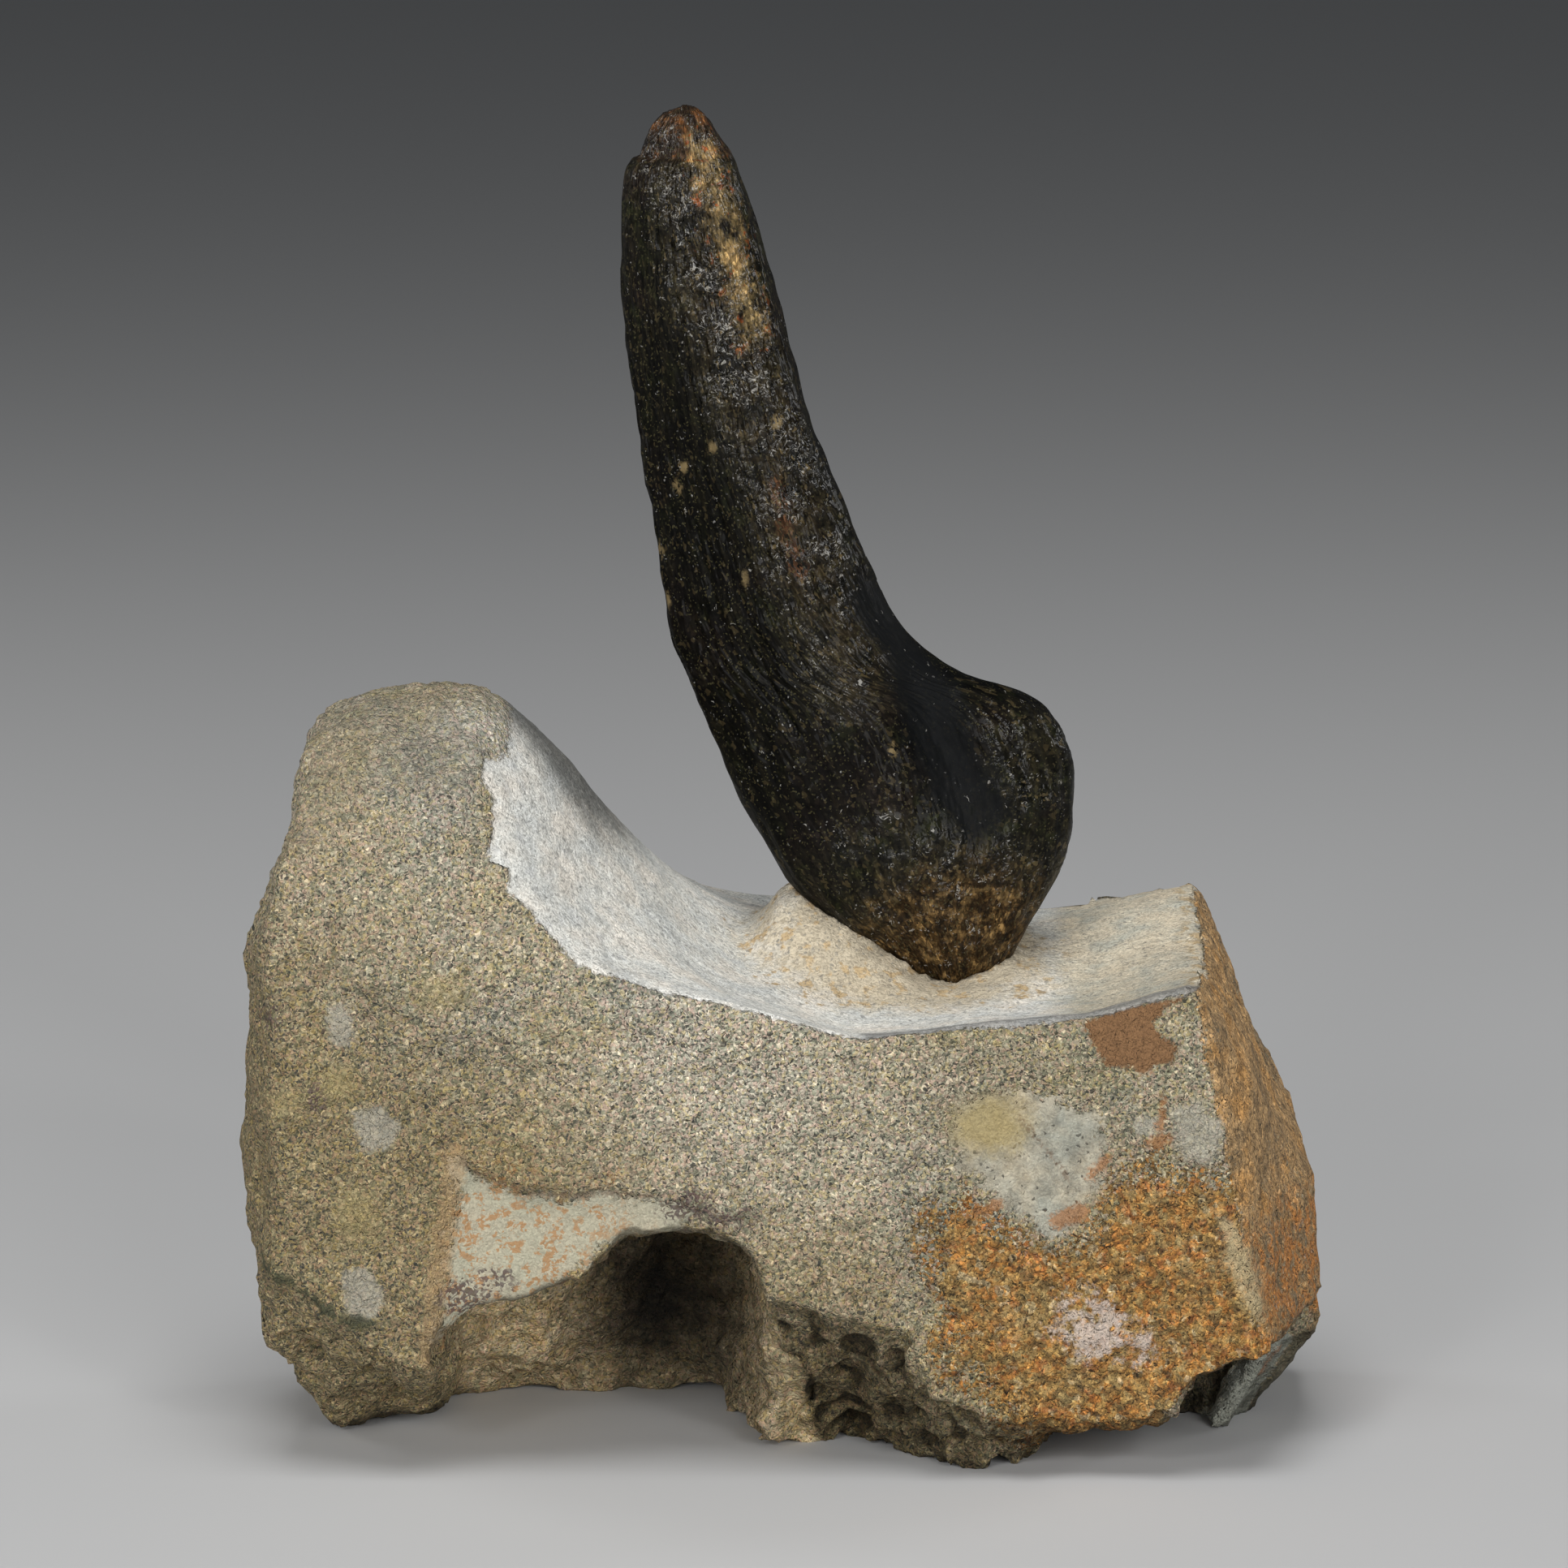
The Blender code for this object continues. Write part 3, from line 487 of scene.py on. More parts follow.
def blend(tree, share, under, over, mode="MIX"):
    node = shader(tree, "Mix", data_type="RGBA", blend_type=mode)
    for name, value in (("Factor", share), ("A", under), ("B", over)):
        socket = next(s for s in node.inputs if s.name == name and s.enabled)
        if isinstance(value, bpy.types.NodeSocket):
            tree.links.new(value, socket)
        else:
            socket.default_value = (*value, 1.0) if isinstance(value, tuple) else value
    return next(s for s in node.outputs if s.enabled)


def stepped(tree, value, low, high):
    """0 below low, 1 above high, smooth between."""
    node = shader(tree, "MapRange", {"Value": value, "From Min": low, "From Max": high},
                  interpolation_type="SMOOTHSTEP")
    return node.outputs["Result"]


def stored(tree, name):
    return shader(tree, "Attribute", attribute_name=name).outputs["Fac"]


def patch(tree, name, ragged, reach=0.0, soft=0.35, grain=None, spread=0.0):
    """Where a stored distance is above zero, its border moved by noise and by whole grains."""
    moved = maths(tree, "MULTIPLY_ADD", maths(tree, "SUBTRACT", ragged, 0.5), reach, stored(tree, name))
    if grain is not None:
        moved = maths(tree, "MULTIPLY_ADD", maths(tree, "SUBTRACT", grain, 0.5), spread, moved)
    return stepped(tree, moved, -soft, soft)


def times(tree, a, b):
    return maths(tree, "MULTIPLY", a, b)


def laid(tree, under, over, where, share):
    """One colour laid over another where a value says, up to this share."""
    return blend(tree, times(tree, where, share), under, over)


def tinted(tree, under, over, value, low, high, share):
    """One colour laid over another where a value runs from low to high."""
    return laid(tree, under, over, stepped(tree, value, low, high), share)


def dimmed(tree, colour, by):
    """A colour multiplied by another."""
    return blend(tree, 1.0, colour, by, "MULTIPLY")


def graded(tree, colour, value, stops):
    """A colour made darker or lighter by a value."""
    return dimmed(tree, colour, ramp(tree, value, stops))


def ruffled(tree, place, wave, reach):
    """The place moved about by noise, so that cells read from it lose their even outlines."""
    noisy = shader(tree, "TexNoise", {"Vector": place, "Scale": 1 / wave, "Detail": 1.0}).outputs["Color"]
    centred = shader(tree, "VectorMath", {0: noisy, 1: (0.5, 0.5, 0.5)}, operation="SUBTRACT")
    inputs = {0: centred.outputs["Vector"], 1: (2 * reach, 2 * reach, 2 * reach), 2: place}
    return shader(tree, "VectorMath", inputs, operation="MULTIPLY_ADD").outputs["Vector"]


def channels(tree, colour):
    split = shader(tree, "SeparateColor", {"Color": colour})
    return split.outputs["Red"], split.outputs["Green"], split.outputs["Blue"]


def new_material(name):
    made = bpy.data.materials.new(name)
    made.use_nodes = True
    tree = made.node_tree
    surface = tree.nodes["Principled BSDF"]
    place = shader(tree, "Mapping", {"Vector": shader(tree, "TexCoord").outputs["Object"],
                                     "Scale": (1 / MM, 1 / MM, 1 / MM)})
    return made, tree, surface, place.outputs["Vector"]


def bumped(tree, height, depth, under=None):
    """A bump whose height runs over this depth in millimetres."""
    inputs = {"Height": height, "Strength": 1.0, "Distance": depth * MM}
    if under is not None:
        inputs["Normal"] = under
    return shader(tree, "Bump", inputs).outputs["Normal"]


def rock_textures(tree, place):
    """Grains and noises that the rock's colours share."""
    uneven = ruffled(tree, place, 0.9, 0.5)
    tint, middle = grains(tree, uneven, GRAIN)
    red, green, blue = channels(tree, tint)
    fine, fine_green, _ = channels(tree, grains(tree, uneven, FINE_GRAIN)[0])
    return SimpleNamespace(
        middle=middle, red=red, green=green, blue=blue, fine=fine, fine_green=fine_green,
        clump=channels(tree, grains(tree, ruffled(tree, place, 1.4, 1.0), CLUMP)[0])[0],
        broad=grey_noise(tree, place, 24.0, 3.0),
        mottle=grey_noise(tree, place, 7.0, 4.0, 0.6),
        blotch=grey_noise(tree, place, 2.6, 3.0, 0.6),
        ragged=grey_noise(tree, place, 3.0, 4.0, 0.65),
        lumpy=grey_noise(tree, place, 1.9, 2.0, 0.6, 0.6),
        spotty=grey_noise(tree, place, 1.7, 3.0, 0.6),
        salt=ramp(tree, red, SALT, "CONSTANT"),
        smooth_grain=ramp(tree, fine, [(0.0, 0.82), (1.0, 1.16)]),
    )


def rock_ground(tree, look):
    """Grey to buff with blotches, browner at the lower left, and coloured grains over it; darker towards the
    right as painted shade, and on high upward faces calmer from weathering and darker as painted shade.
    """
    tone = ramp(tree, look.broad, GROUND)
    tone = tinted(tree, tone, YELLOW_TINGE, look.mottle, 0.52, 0.66, 0.45)
    tone = tinted(tree, tone, PINK_TINGE, look.mottle, 0.44, 0.32, 0.35)
    tone = tinted(tree, tone, PALE_BLOTCH, look.blotch, 0.53, 0.68, 0.45)
    tone = tinted(tree, tone, DARK_BLOTCH, look.blotch, 0.44, 0.32, 0.45)
    tone = laid(tree, tone, PALE_MIDDLE, patch(tree, "middle", look.ragged, 20.0, 10.0), 0.6)
    tone = laid(tree, tone, BROWN_CORNER, patch(tree, "low_left", look.ragged, 14.0, 8.0), 0.85)

    grainy = dimmed(tree, tone, look.salt)
    grainy = graded(tree, grainy, look.fine, [(0.0, 0.62), (0.5, 1.0), (1.0, 1.34)])
    pepper = maths(tree, "MULTIPLY_ADD", maths(tree, "SUBTRACT", 0.5, look.broad), 0.25, look.fine_green)
    grainy = tinted(tree, grainy, PEPPER, pepper, 0.89, 0.91, 0.85)
    grainy = tinted(tree, grainy, BLACK_GRAIN, look.blue, 0.982, 0.985, 0.8)
    # Painted shade, darker towards the right
    grainy = blend(tree, stored(tree, "dim"), grainy, dimmed(tree, grainy, RIGHT_SHADE_DIMMED))
    # High upward faces: calmer grain from weathering, and darker as painted shade
    calmer = dimmed(tree, blend(tree, 0.65, tone, grainy), TOP_SHADE_DIMMED)
    grainy = laid(tree, grainy, calmer, stored(tree, "weathered_top_shade"), 0.85)
    dusted = patch(tree, "dusted", look.ragged, 16.0, 4.0)
    return laid(tree, grainy, dimmed(tree, DUST, look.salt), dusted, 0.55)


def right_face(tree, look):
    """A smoother brown, made lighter as painted light from the right, with dark dots and orange stains."""
    brown = ramp(tree, look.mottle, RIGHT_BROWN)
    low = patch(tree, "orange", look.ragged, 20.0, 4.0)
    brown = blend(tree, times(tree, low, stepped(tree, look.blotch, 0.42, 0.54)), brown, RIGHT_ORANGE)
    brown = graded(tree, brown, look.blotch, [(0.36, 0.62), (0.5, 1.0), (0.64, 1.3)])
    brown = graded(tree, brown, look.red, [(0.0, 0.5), (0.3, 0.95), (0.8, 1.08), (1.0, 1.6)])
    return tinted(tree, brown, RIGHT_DOT, look.fine_green, 0.93, 0.95, 0.6)


def iron_stain(tree, look):
    """Clumps of orange, ochre and dark grains."""
    rust = ramp(tree, look.clump, RUST_CLUMPS, "CONSTANT")
    rust = blend(tree, 0.25, rust, ramp(tree, look.blotch, RUST_BLOTCHES))
    rust = tinted(tree, rust, DEEP_RUST, look.blotch, 0.58, 0.66, 0.6)
    rust = tinted(tree, rust, OLIVE_RUST, look.mottle, 0.46, 0.34, 0.45)
    rust = graded(tree, rust, look.red, [(0.0, 0.22), (0.12, 0.7), (0.6, 1.05), (0.85, 1.3), (1.0, 1.9)])
    rust = graded(tree, rust, look.fine, [(0.0, 0.66), (0.5, 1.0), (1.0, 1.3)])
    rust = graded(tree, rust, look.lumpy, [(0.38, 0.66), (0.5, 1.0), (0.62, 1.28)])
    rust = tinted(tree, rust, PALE_RUST, look.lumpy, 0.57, 0.63, 0.35)
    return dimmed(tree, rust, RUST_DIMMED)


def mudstone(tree, look):
    """Finer stone with small dark dots, paler in the facet at the left."""
    mud = graded(tree, ramp(tree, look.mottle, MUD), look.blotch, [(0.36, 0.76), (0.64, 1.18)])
    mud = tinted(tree, mud, MUD_DOT, look.blue, 0.965, 0.97, 0.8)
    mud = blend(tree, patch(tree, "facet", look.ragged, 1.0, 2.0), mud, ramp(tree, look.mottle, PALE_MUD))
    return dimmed(tree, mud, look.smooth_grain)


def small_marks(tree, look, grainy):
    """Spots on the facet, clasts, stains, seams, the slab, painted shade under the lower right corner,
    maroon marks and crusts.
    """
    spots = times(tree, stepped(tree, look.spotty, 0.50, 0.56), stepped(tree, look.green, 0.25, 0.35))
    spots = times(tree, spots, patch(tree, "facet_left", look.mottle, 20.0, 3.0))
    grainy = laid(tree, grainy, FACET_SPOT, spots, 0.8)
    for name, share, soft, colour in MARKS:
        reach = CRISP_REACH if name in CRISP_MARKS else MARK_REACH
        where = patch(tree, name, look.ragged, reach, soft, look.green, 0.6)
        grainy = laid(tree, grainy, dimmed(tree, colour, look.smooth_grain), where, share)
    grained = stepped(tree, look.red, 0.25, 0.35)
    maroon = times(tree, patch(tree, "maroon", look.ragged, 4.0, 0.6, look.green, 2.0), grained)
    grainy = laid(tree, grainy, dimmed(tree, MAROON, look.salt), maroon, 0.85)
    broken = stepped(tree, look.blotch, 0.38, 0.5)
    crust = times(tree, patch(tree, "crust", look.ragged, 9.0, 1.2, look.green, 1.5), broken)
    return laid(tree, grainy, dimmed(tree, CRUST, look.smooth_grain), crust, 0.8)


def hollow_walls(tree, look, grainy):
    """The hollow's walls, lightened as painted light, with painted shade inside the hollow and in the other
    hollows.
    """
    wall = ramp(tree, look.mottle, WALL)
    wall = tinted(tree, wall, PALE_WALL, look.blotch, 0.55, 0.66, 0.6)
    wall = tinted(tree, wall, DARK_WALL, look.blotch, 0.44, 0.34, 0.6)
    # Wall colours in the hollow, made lighter as painted light
    grainy = laid(tree, grainy, dimmed(tree, wall, look.salt), stored(tree, "hollow"), 0.85)
    off_middle = maths(tree, "SUBTRACT", look.ragged, 0.5)
    uneven = maths(tree, "MULTIPLY_ADD", off_middle, 1.2, 1.0)
    # Painted shade in the hollow, deepest at its upper right
    grainy = dimmed(tree, grainy, maths(tree, "POWER", stored(tree, "hollow_light"), uneven))
    # Painted shade in the undercut and its crevices, the notch and under overhangs, and darker along the
    # left ledge's foot
    shade = maths(tree, "MULTIPLY_ADD", off_middle, 0.9, stored(tree, "shade"))
    return tinted(tree, grainy, dimmed(tree, grainy, RECESS_SHADE), shade, 0.15, 1.0, 0.97)


def chalk_white(tree, look):
    """The whitened scoop, with an ochre band round the bone and a grey stripe of painted shade on its flank.
    """
    chalk = ramp(tree, look.mottle, CHALK)
    chalk = tinted(tree, chalk, GREY_CHALK, look.blotch, 0.54, 0.68, 0.4)
    chalk = laid(tree, chalk, OCHRE_CHALK, patch(tree, "ochre", look.ragged, 14.0, 5.0), 0.85)
    specks = stepped(tree, look.blotch, 0.54, 0.64)
    freckles = times(tree, patch(tree, "ochre", look.mottle, 40.0, 2.0), specks)
    chalk = blend(tree, freckles, chalk, OCHRE_FRECKLE)
    # Painted shade: a grey stripe on the flank
    chalk = laid(tree, chalk, STRIPE_SHADE_GREY, patch(tree, "stripe", look.ragged, 5.0, 2.0), 0.9)
    level = patch(tree, "plateau", look.ragged, 8.0, 4.0)
    chalk = blend(tree, level, chalk, ramp(tree, look.mottle, PLATEAU))
    broken = stepped(tree, look.blotch, 0.46, 0.58)
    rim = times(tree, patch(tree, "right_rim", look.ragged, 9.0, 2.0), broken)
    chalk = laid(tree, chalk, RIM_BROWN, rim, 0.8)
    chalk = laid(tree, chalk, RIM_GREY, patch(tree, "rim", look.ragged, 2.5, 0.6), 0.85)
    chalk = graded(tree, chalk, look.fine, [(0.0, 0.66), (0.5, 1.0), (1.0, 1.2)])
    chalk = graded(tree, chalk, look.ragged, [(0.36, 0.86), (0.5, 1.0), (0.64, 1.08)])
    middle = patch(tree, "scoop_middle", look.ragged, 4.0, 6.0)
    chalk = graded(tree, chalk, middle, [(0.0, 0.91), (1.0, 1.12)])
    return tinted(tree, chalk, CHALK_DOT, look.green, 0.945, 0.955, 0.5)


def sandstone():
    made, tree, surface, place = new_material("sandstone")
    look = rock_textures(tree, place)
    side = patch(tree, "right_face", look.ragged, 4.0, 1.5, look.green, 3.0)
    iron = patch(tree, "iron", look.ragged, 14.0, 1.5, look.green, 6.0)
    muddy = patch(tree, "mudstone", look.ragged, 7.0, 0.9, look.green, 1.6)
    white = patch(tree, "ground_out", look.ragged, 2.2, 0.4, look.green, 0.6)
    grainy = rock_ground(tree, look)
    grainy = laid(tree, grainy, right_face(tree, look), side, 0.92)
    grainy = laid(tree, grainy, iron_stain(tree, look), iron, 0.92)
    grainy = laid(tree, grainy, mudstone(tree, look), muddy, 0.94)
    grainy = small_marks(tree, look, grainy)
    grainy = hollow_walls(tree, look, grainy)
    grainy = laid(tree, grainy, chalk_white(tree, look), white, 0.95)
    tree.links.new(grainy, surface.inputs["Base Color"])
    surface.inputs["Roughness"].default_value = 0.85
    surface.inputs["Specular IOR Level"].default_value = 0.3

    calm = maths(tree, "MULTIPLY_ADD", maths(tree, "MAXIMUM", white, muddy), -0.6, 1.0)
    coarse = times(tree, grey_noise(tree, place, 2.2, 2.0), maths(tree, "MAXIMUM", iron, side))
    relief = bumped(tree, times(tree, maths(tree, "SUBTRACT", 1.0, look.middle), calm), 0.30)
    relief = bumped(tree, times(tree, grey_noise(tree, place, 1.4, 3.0, 0.6), calm), 0.95, relief)
    relief = bumped(tree, coarse, 1.1, relief)
    tree.links.new(relief, surface.inputs["Normal"])
    return made


def ground_out_part(x, behind, z, facing):
    """Distance inside the ground-out scoop, which ends short of the right and rear faces."""
    outline = SCOOP_EDGE + [(SCOOP_EDGE[-1][0], ABOVE_ALL), (SCOOP_EDGE[0][0], ABOVE_ALL)]
    above_edge = inside(x, z + SCOOP_BACKWARD * behind, outline)
    ground_out = np.min([above_edge, 6 * (facing[:, 2] + 0.55), 10 * (0.55 - facing[:, 1])], axis=0)
    places_seen = np.column_stack([x, behind, z])
    past_right = np.max([(places_seen - place) @ way for place, way in RIGHT_PLANES], axis=0)
    off_right = np.minimum(-0.6 - past_right, 14 * (0.72 - facing[:, 0]))
    return above_edge, past_right, np.where(x > 40, np.minimum(ground_out, off_right), ground_out)


def rock_zones(points, facing):
    """Where the rock's forms are: from 0 to 1, or a distance inside them in millimetres."""
    x, y, z = drawn(points).T
    behind = y - FRONT_Y
    above_edge, past_right, ground_out = ground_out_part(x, behind, z, facing)
    seen_across, seen_up = in_picture(x, behind, z)
    slab = np.min([SLAB_HALF - from_path(x, z, SLAB_LINE), 0.5 * (behind - 27), 0.5 * (50 - behind)], axis=0)

    fore = smooth_step(60, 52, behind)
    wall_foot = 0.3 * np.clip(28 - z, 0, 28)
    in_hollow = smooth_step(-52, -46, x) * smooth_step(-1, -5, x - wall_foot) * smooth_step(4, 10, behind)
    in_hollow *= smooth_step(39, 36, z) * fore
    dark_across, dark_up = seen_across - DARK_PLACE[0], seen_up - DARK_PLACE[1]
    dark_reach = np.where(dark_across > 0, DARK_RIGHT, DARK_LEFT)
    off_dark = (dark_across / dark_reach) ** 2 + (dark_up / DARK_UP) ** 2
    undercut = smooth_step(-4, -1, x - wall_foot) * smooth_step(44, 36, x) * smooth_step(1.0, 4.0, behind)
    undercut *= smooth_step(28, 24, z)
    undercut *= fore
    notch = fore * smooth_step(57, 60, x) * smooth_step(84, 78, x)
    notch *= smooth_step(8, 16, behind) * smooth_step(22, 18, z)
    ledge_foot = smooth_step(-46, -52, x) * smooth_step(4, 1, z)
    turned_under = smooth_step(-0.2, -0.6, facing[:, 2]) * smooth_step(42, 38, z) * smooth_step(-50, -40, x)
    turned_under *= (1 - in_hollow) * fore
    crags = -folds(points, UNDERCUT_CRAGS, 29.0)
    sunken = smooth_step(0.1, -0.9, crags)
    # Painted shade: in the undercut, more in its crevices, in the notch, under downward faces, and darker
    # along the left ledge's foot
    shade = np.max([(0.62 + 0.3 * sunken) * undercut, 0.85 * notch * (slab < 0) * (x < 74), 0.7 * ledge_foot,
                    0.6 * turned_under], axis=0)
    return SimpleNamespace(
        x=x, behind=behind, z=z, seen_across=seen_across, seen_up=seen_up,
        above_edge=above_edge, past_right=past_right, ground_out=ground_out,
        on_front=np.minimum(4.0 - behind * 0.5, 8 * (-facing[:, 1] - 0.2)),
        slab=slab, in_hollow=in_hollow, undercut=undercut, crags=crags, shade=shade,
        # Painted shade in the hollow, deepest at its upper right as the camera sees it
        hollow_light=np.exp(-DARK_DEPTH * in_hollow / (1 + off_dark)),
    )


def rock_fields(points, facing, zones):
    """The values that the rock's material reads, most of them distances inside a patch."""
    x, behind, z, slab, on_front = zones.x, zones.behind, zones.z, zones.slab, zones.on_front
    across, up = zones.seen_across, zones.seen_up

    def drawn_patch(*outlines):
        return np.minimum(np.max([inside(x, z, outline) for outline in outlines], axis=0), on_front)

    def drawn_marks(spots):
        return np.minimum(marks(x, z, spots), on_front)

    flank_top = 0.7 * np.maximum(WHITE_TOP - up, across - WHITE_TOP_RIGHT)
    # Painted shade stripe on the scoop's flank, placed as the camera sees it
    stripe = (across - STRIPE_PLACE[0]) * STRIPE_WAY[0] + (up - STRIPE_PLACE[1]) * STRIPE_WAY[1]
    from_seam = np.minimum(from_path(x, z, SEAM_LINE), from_path(x, z, SCRATCH_LINE))
    streaks = np.max([half - from_path(x, z, line) for line, half in ORANGE_STREAKS], axis=0)
    right = np.min([zones.past_right + 2.6, x - 55, 12 * (facing[:, 0] - 0.45)], axis=0)
    # Painted shade on downward faces in the lower right corner
    shaded_under_corner = np.min([x - 66, 6 * (-0.35 - facing[:, 2]), 0.5 * (behind - 20), 24 - z], axis=0)
    return {
        "ground_out": np.where(x < -20, np.minimum(zones.ground_out, flank_top), zones.ground_out),
        "scoop_middle": 0.5 * (x + 20),
        "ochre": OCHRE_REACH - from_place(drawn(points), BONE_FOOT, (1.25, 1.0, 0.8)),
        "stripe": np.minimum(stripe, 0.4 * (up + 7)),
        "plateau": np.minimum(x - 42, 6 * (facing[:, 2] - 0.3)),
        "rim": np.min([2.6 - zones.above_edge, 0.5 * (x - 12)], axis=0),
        "right_rim": 3.0 + zones.past_right,
        "dusted": DUST_REACH - np.hypot(across - DUST_PLACE[0], up - DUST_PLACE[1]),
        # High upward faces, weathered and given painted shade
        "weathered_top_shade": smooth_step(0.35, 0.7, facing[:, 2]) * smooth_step(70, 80, z),
        # Painted shade towards the right
        "dim": smooth_step(-15, 20, x),
        "middle": 27 - np.hypot(x + 5, (z - 56) * 1.4),
        "low_left": 0.35 * (66 - z) - 0.25 * (x + 46),
        "iron": np.min([inside(x, z, IRON_STAIN), 18 - 0.6 * behind, 16 * (0.6 - facing[:, 0])], axis=0),
        "mudstone": drawn_patch(GREEN_MUDSTONE, LEFT_FACET),
        "facet": drawn_patch(LEFT_FACET),
        "facet_left": np.minimum(drawn_patch(LEFT_FACET) + 1, 0.45 * (-26 - x)),
        "slate": drawn_patch(*BLUE_CLASTS),
        "brown": drawn_patch(BROWN_PEBBLE),
        "crust": drawn_patch(*PALE_CRUSTS),
        "strip": drawn_patch(PALE_STRIP),
        "yellow": drawn_marks([YELLOW_STAIN]),
        "maroon": drawn_marks(MAROON_MARKS),
        "olive": drawn_marks(OLIVE_MARKS),
        "orange_mark": np.minimum(streaks, on_front),
        "rib": np.minimum(1.5 - from_path(x, z, RIB_LINE), on_front),
        "seam": np.minimum(0.3 - from_seam, on_front),
        "moss": np.minimum(0.7 - from_path(x, z, LEDGE_CRACK), 6 - behind),
        "right_face": np.minimum(right, -4 * slab),
        "orange": 12 - np.abs(z - 26),
        "shaded_under_corner": np.minimum(shaded_under_corner, -4 * slab),
        "slab": slab,
        "slab_streak": np.minimum(0.7 - from_path(x, z, SLAB_STREAK), slab),
        "hollow": zones.in_hollow,
        "hollow_light": zones.hollow_light,
        "shade": zones.shade,
    }


def rock_relief(points, facing, zones, smooth_patch):
    """The points moved out and in, and shifted about where the rock is broken."""
    x, behind, z, in_hollow, undercut = zones.x, zones.behind, zones.z, zones.in_hollow, zones.undercut
    rough = 1 - smooth_step(-0.4, 0.4, zones.ground_out)
    low = smooth_step(30, 20, z) * (1 - in_hollow)
    sides = np.maximum(smooth_step(0.3, 0.7, facing[:, 1]), smooth_step(-0.4, -0.8, facing[:, 0]))
    broken = np.clip(np.maximum(low * smooth_step(0.1, -0.25, facing[:, 2]), 0.2 * sides), 0, 1) * rough
    broken = np.maximum(broken, 0.8 * undercut * rough) * (zones.slab < -1)
    broken *= (1 - 0.6 * smooth_step(62, 68, x)) * (1 - 0.6 * smooth_step(27, 31, behind))
    calm = (1 - 0.8 * smooth_patch) * (1 - 0.4 * smooth_step(0.5, 0.8, facing[:, 0]))

    form = lumps(points, ROCK_BROAD) - chips(points, ROCK_CHIPS, 7.0) + lumps(points, ROCK_GRAINS, 3.0)
    lift = rough * calm * form
    lift += (1 - rough) * (lumps(points, SCOOP_GRAINS, 5.0) - SCOOP_STEP)
    lift += rough * (in_hollow * lumps(points, WALL_LUMPS, 23.0) + (1 - in_hollow) * undercut * zones.crags)
    lift -= 0.5 * np.clip(1 - from_path(x, z, SEAM_LINE) / 0.7, 0, 1) * (zones.on_front > 0)
    moved = points + facing * lift[:, None]
    moved += wander(points, EDGE_WANDER, 11.0) * (rough * calm * 0.7 + 0.1)[:, None]
    moved += wander(points, BROKEN_WANDER, 17.0) * broken[:, None]
    moved[:, 2] -= SHOULDER_DROP * smooth_step(106, 115, z)
    moved[:, 2] += in_hollow * smooth_step(4, 0, z) * np.maximum(0.6 + lumps(points, WALL_EDGE, 37.0), 0)
    return moved


def make_rock(bone):
    piece = merged_copy("sandstone_matrix", "sandstone_block")
    remesh(piece, ROCK_GRID)
    melt(piece, ROCK_MELT, ROCK_CREASE)
    refine_front(piece)
    points, facing = places(piece), normals(piece)
    zones = rock_zones(points, facing)
    fields = rock_fields(points, facing, zones)
    smooth_patch = smooth_step(-0.6, 0.6, np.maximum(fields["mudstone"], fields["brown"]))
    moved = close_contact(rock_relief(points, facing, zones, smooth_patch), bone)
    moved[:, 2] = np.maximum(moved[:, 2], 0.0)
    put(piece, moved)
    for name, values in fields.items():
        keep(piece, name, values)
    piece.data.materials.clear()
    piece.data.materials.append(sandstone())
    piece.data.shade_smooth()
    return piece


def close_contact(points, bone):
    """Draws the rock's pocket up to the bone, so that no gap shows where the stone holds it."""
    skin = places(bone)
    tree = BVHTree.FromPolygons([Vector(p) for p in skin], [tuple(f.vertices) for f in bone.data.polygons])
    low, high = skin.min(0) - CONTACT_REACH, skin.max(0) + CONTACT_REACH
    near = np.nonzero(np.all((points > low) & (points < high), axis=1))[0]
    for i in near:
        spot, outward, _, distance = tree.find_nearest(Vector(points[i]), CONTACT_REACH)
        if spot is None:
            continue
        share = float(smooth_step(CONTACT_REACH, 0.5 * CONTACT_REACH, distance))
        aim = np.array(spot) - CONTACT_OVERLAP * np.array(outward)
        points[i] += share * (aim - points[i])
    return points


def refine_front(piece):
    """Halves the grid on the front face and in the scoop, where most detail is seen."""
    bm = bmesh.new()
    bm.from_mesh(piece.data)
    edges = set()
    for face in bm.faces:
        middle = face.calc_center_median() / MM
        in_scoop = face.normal.z > 0.35 and middle.z > REFINE_ABOVE
        if (face.normal.y < -0.35 or in_scoop) and middle.y < REFINE_BEFORE:
            edges.update(face.edges)
    bmesh.ops.subdivide_edges(bm, edges=list(edges), cuts=1, use_grid_fill=True)
    bm.to_mesh(piece.data)
    bm.free()


def bone_textures(tree, place):
    """Fibres, noises and grains that the bone's colours and relief share."""
    fibre = {"X": stored(tree, "across"), "Y": stored(tree, "along"), "Z": stored(tree, "side")}
    along = shader(tree, "CombineXYZ", fibre).outputs["Vector"]

    def stretched(share):
        """The place along the fibres, their length drawn in to this share."""
        return shader(tree, "Mapping", {"Vector": along, "Scale": (1.0, share, 1.0)}).outputs["Vector"]

    red, green, _ = channels(tree, grains(tree, ruffled(tree, stretched(0.6), 0.8, 0.5), 0.42)[0])
    glint, thin, _ = channels(tree, grains(tree, ruffled(tree, place, 0.6, 0.3), 0.24)[0])
    return SimpleNamespace(
        red=red, green=green, glint=glint, thin=thin, wet=stored(tree, "wet"),
        streaks=grey_noise(tree, stretched(FIBRE_STRETCH), 1.2, 3.0, 0.6),
        dashes=grey_noise(tree, stretched(0.3), 0.95, 1.0),
        squiggles=grey_noise(tree, place, 1.7, 1.0, 0.5, 1.5),
        fine=grey_noise(tree, place, 1.3, 1.0),
        broad=grey_noise(tree, place, 14.0, 3.0),
        mottle=grey_noise(tree, place, 3.5, 4.0, 0.65),
        ragged=grey_noise(tree, place, 2.0, 4.0, 0.7),
    )


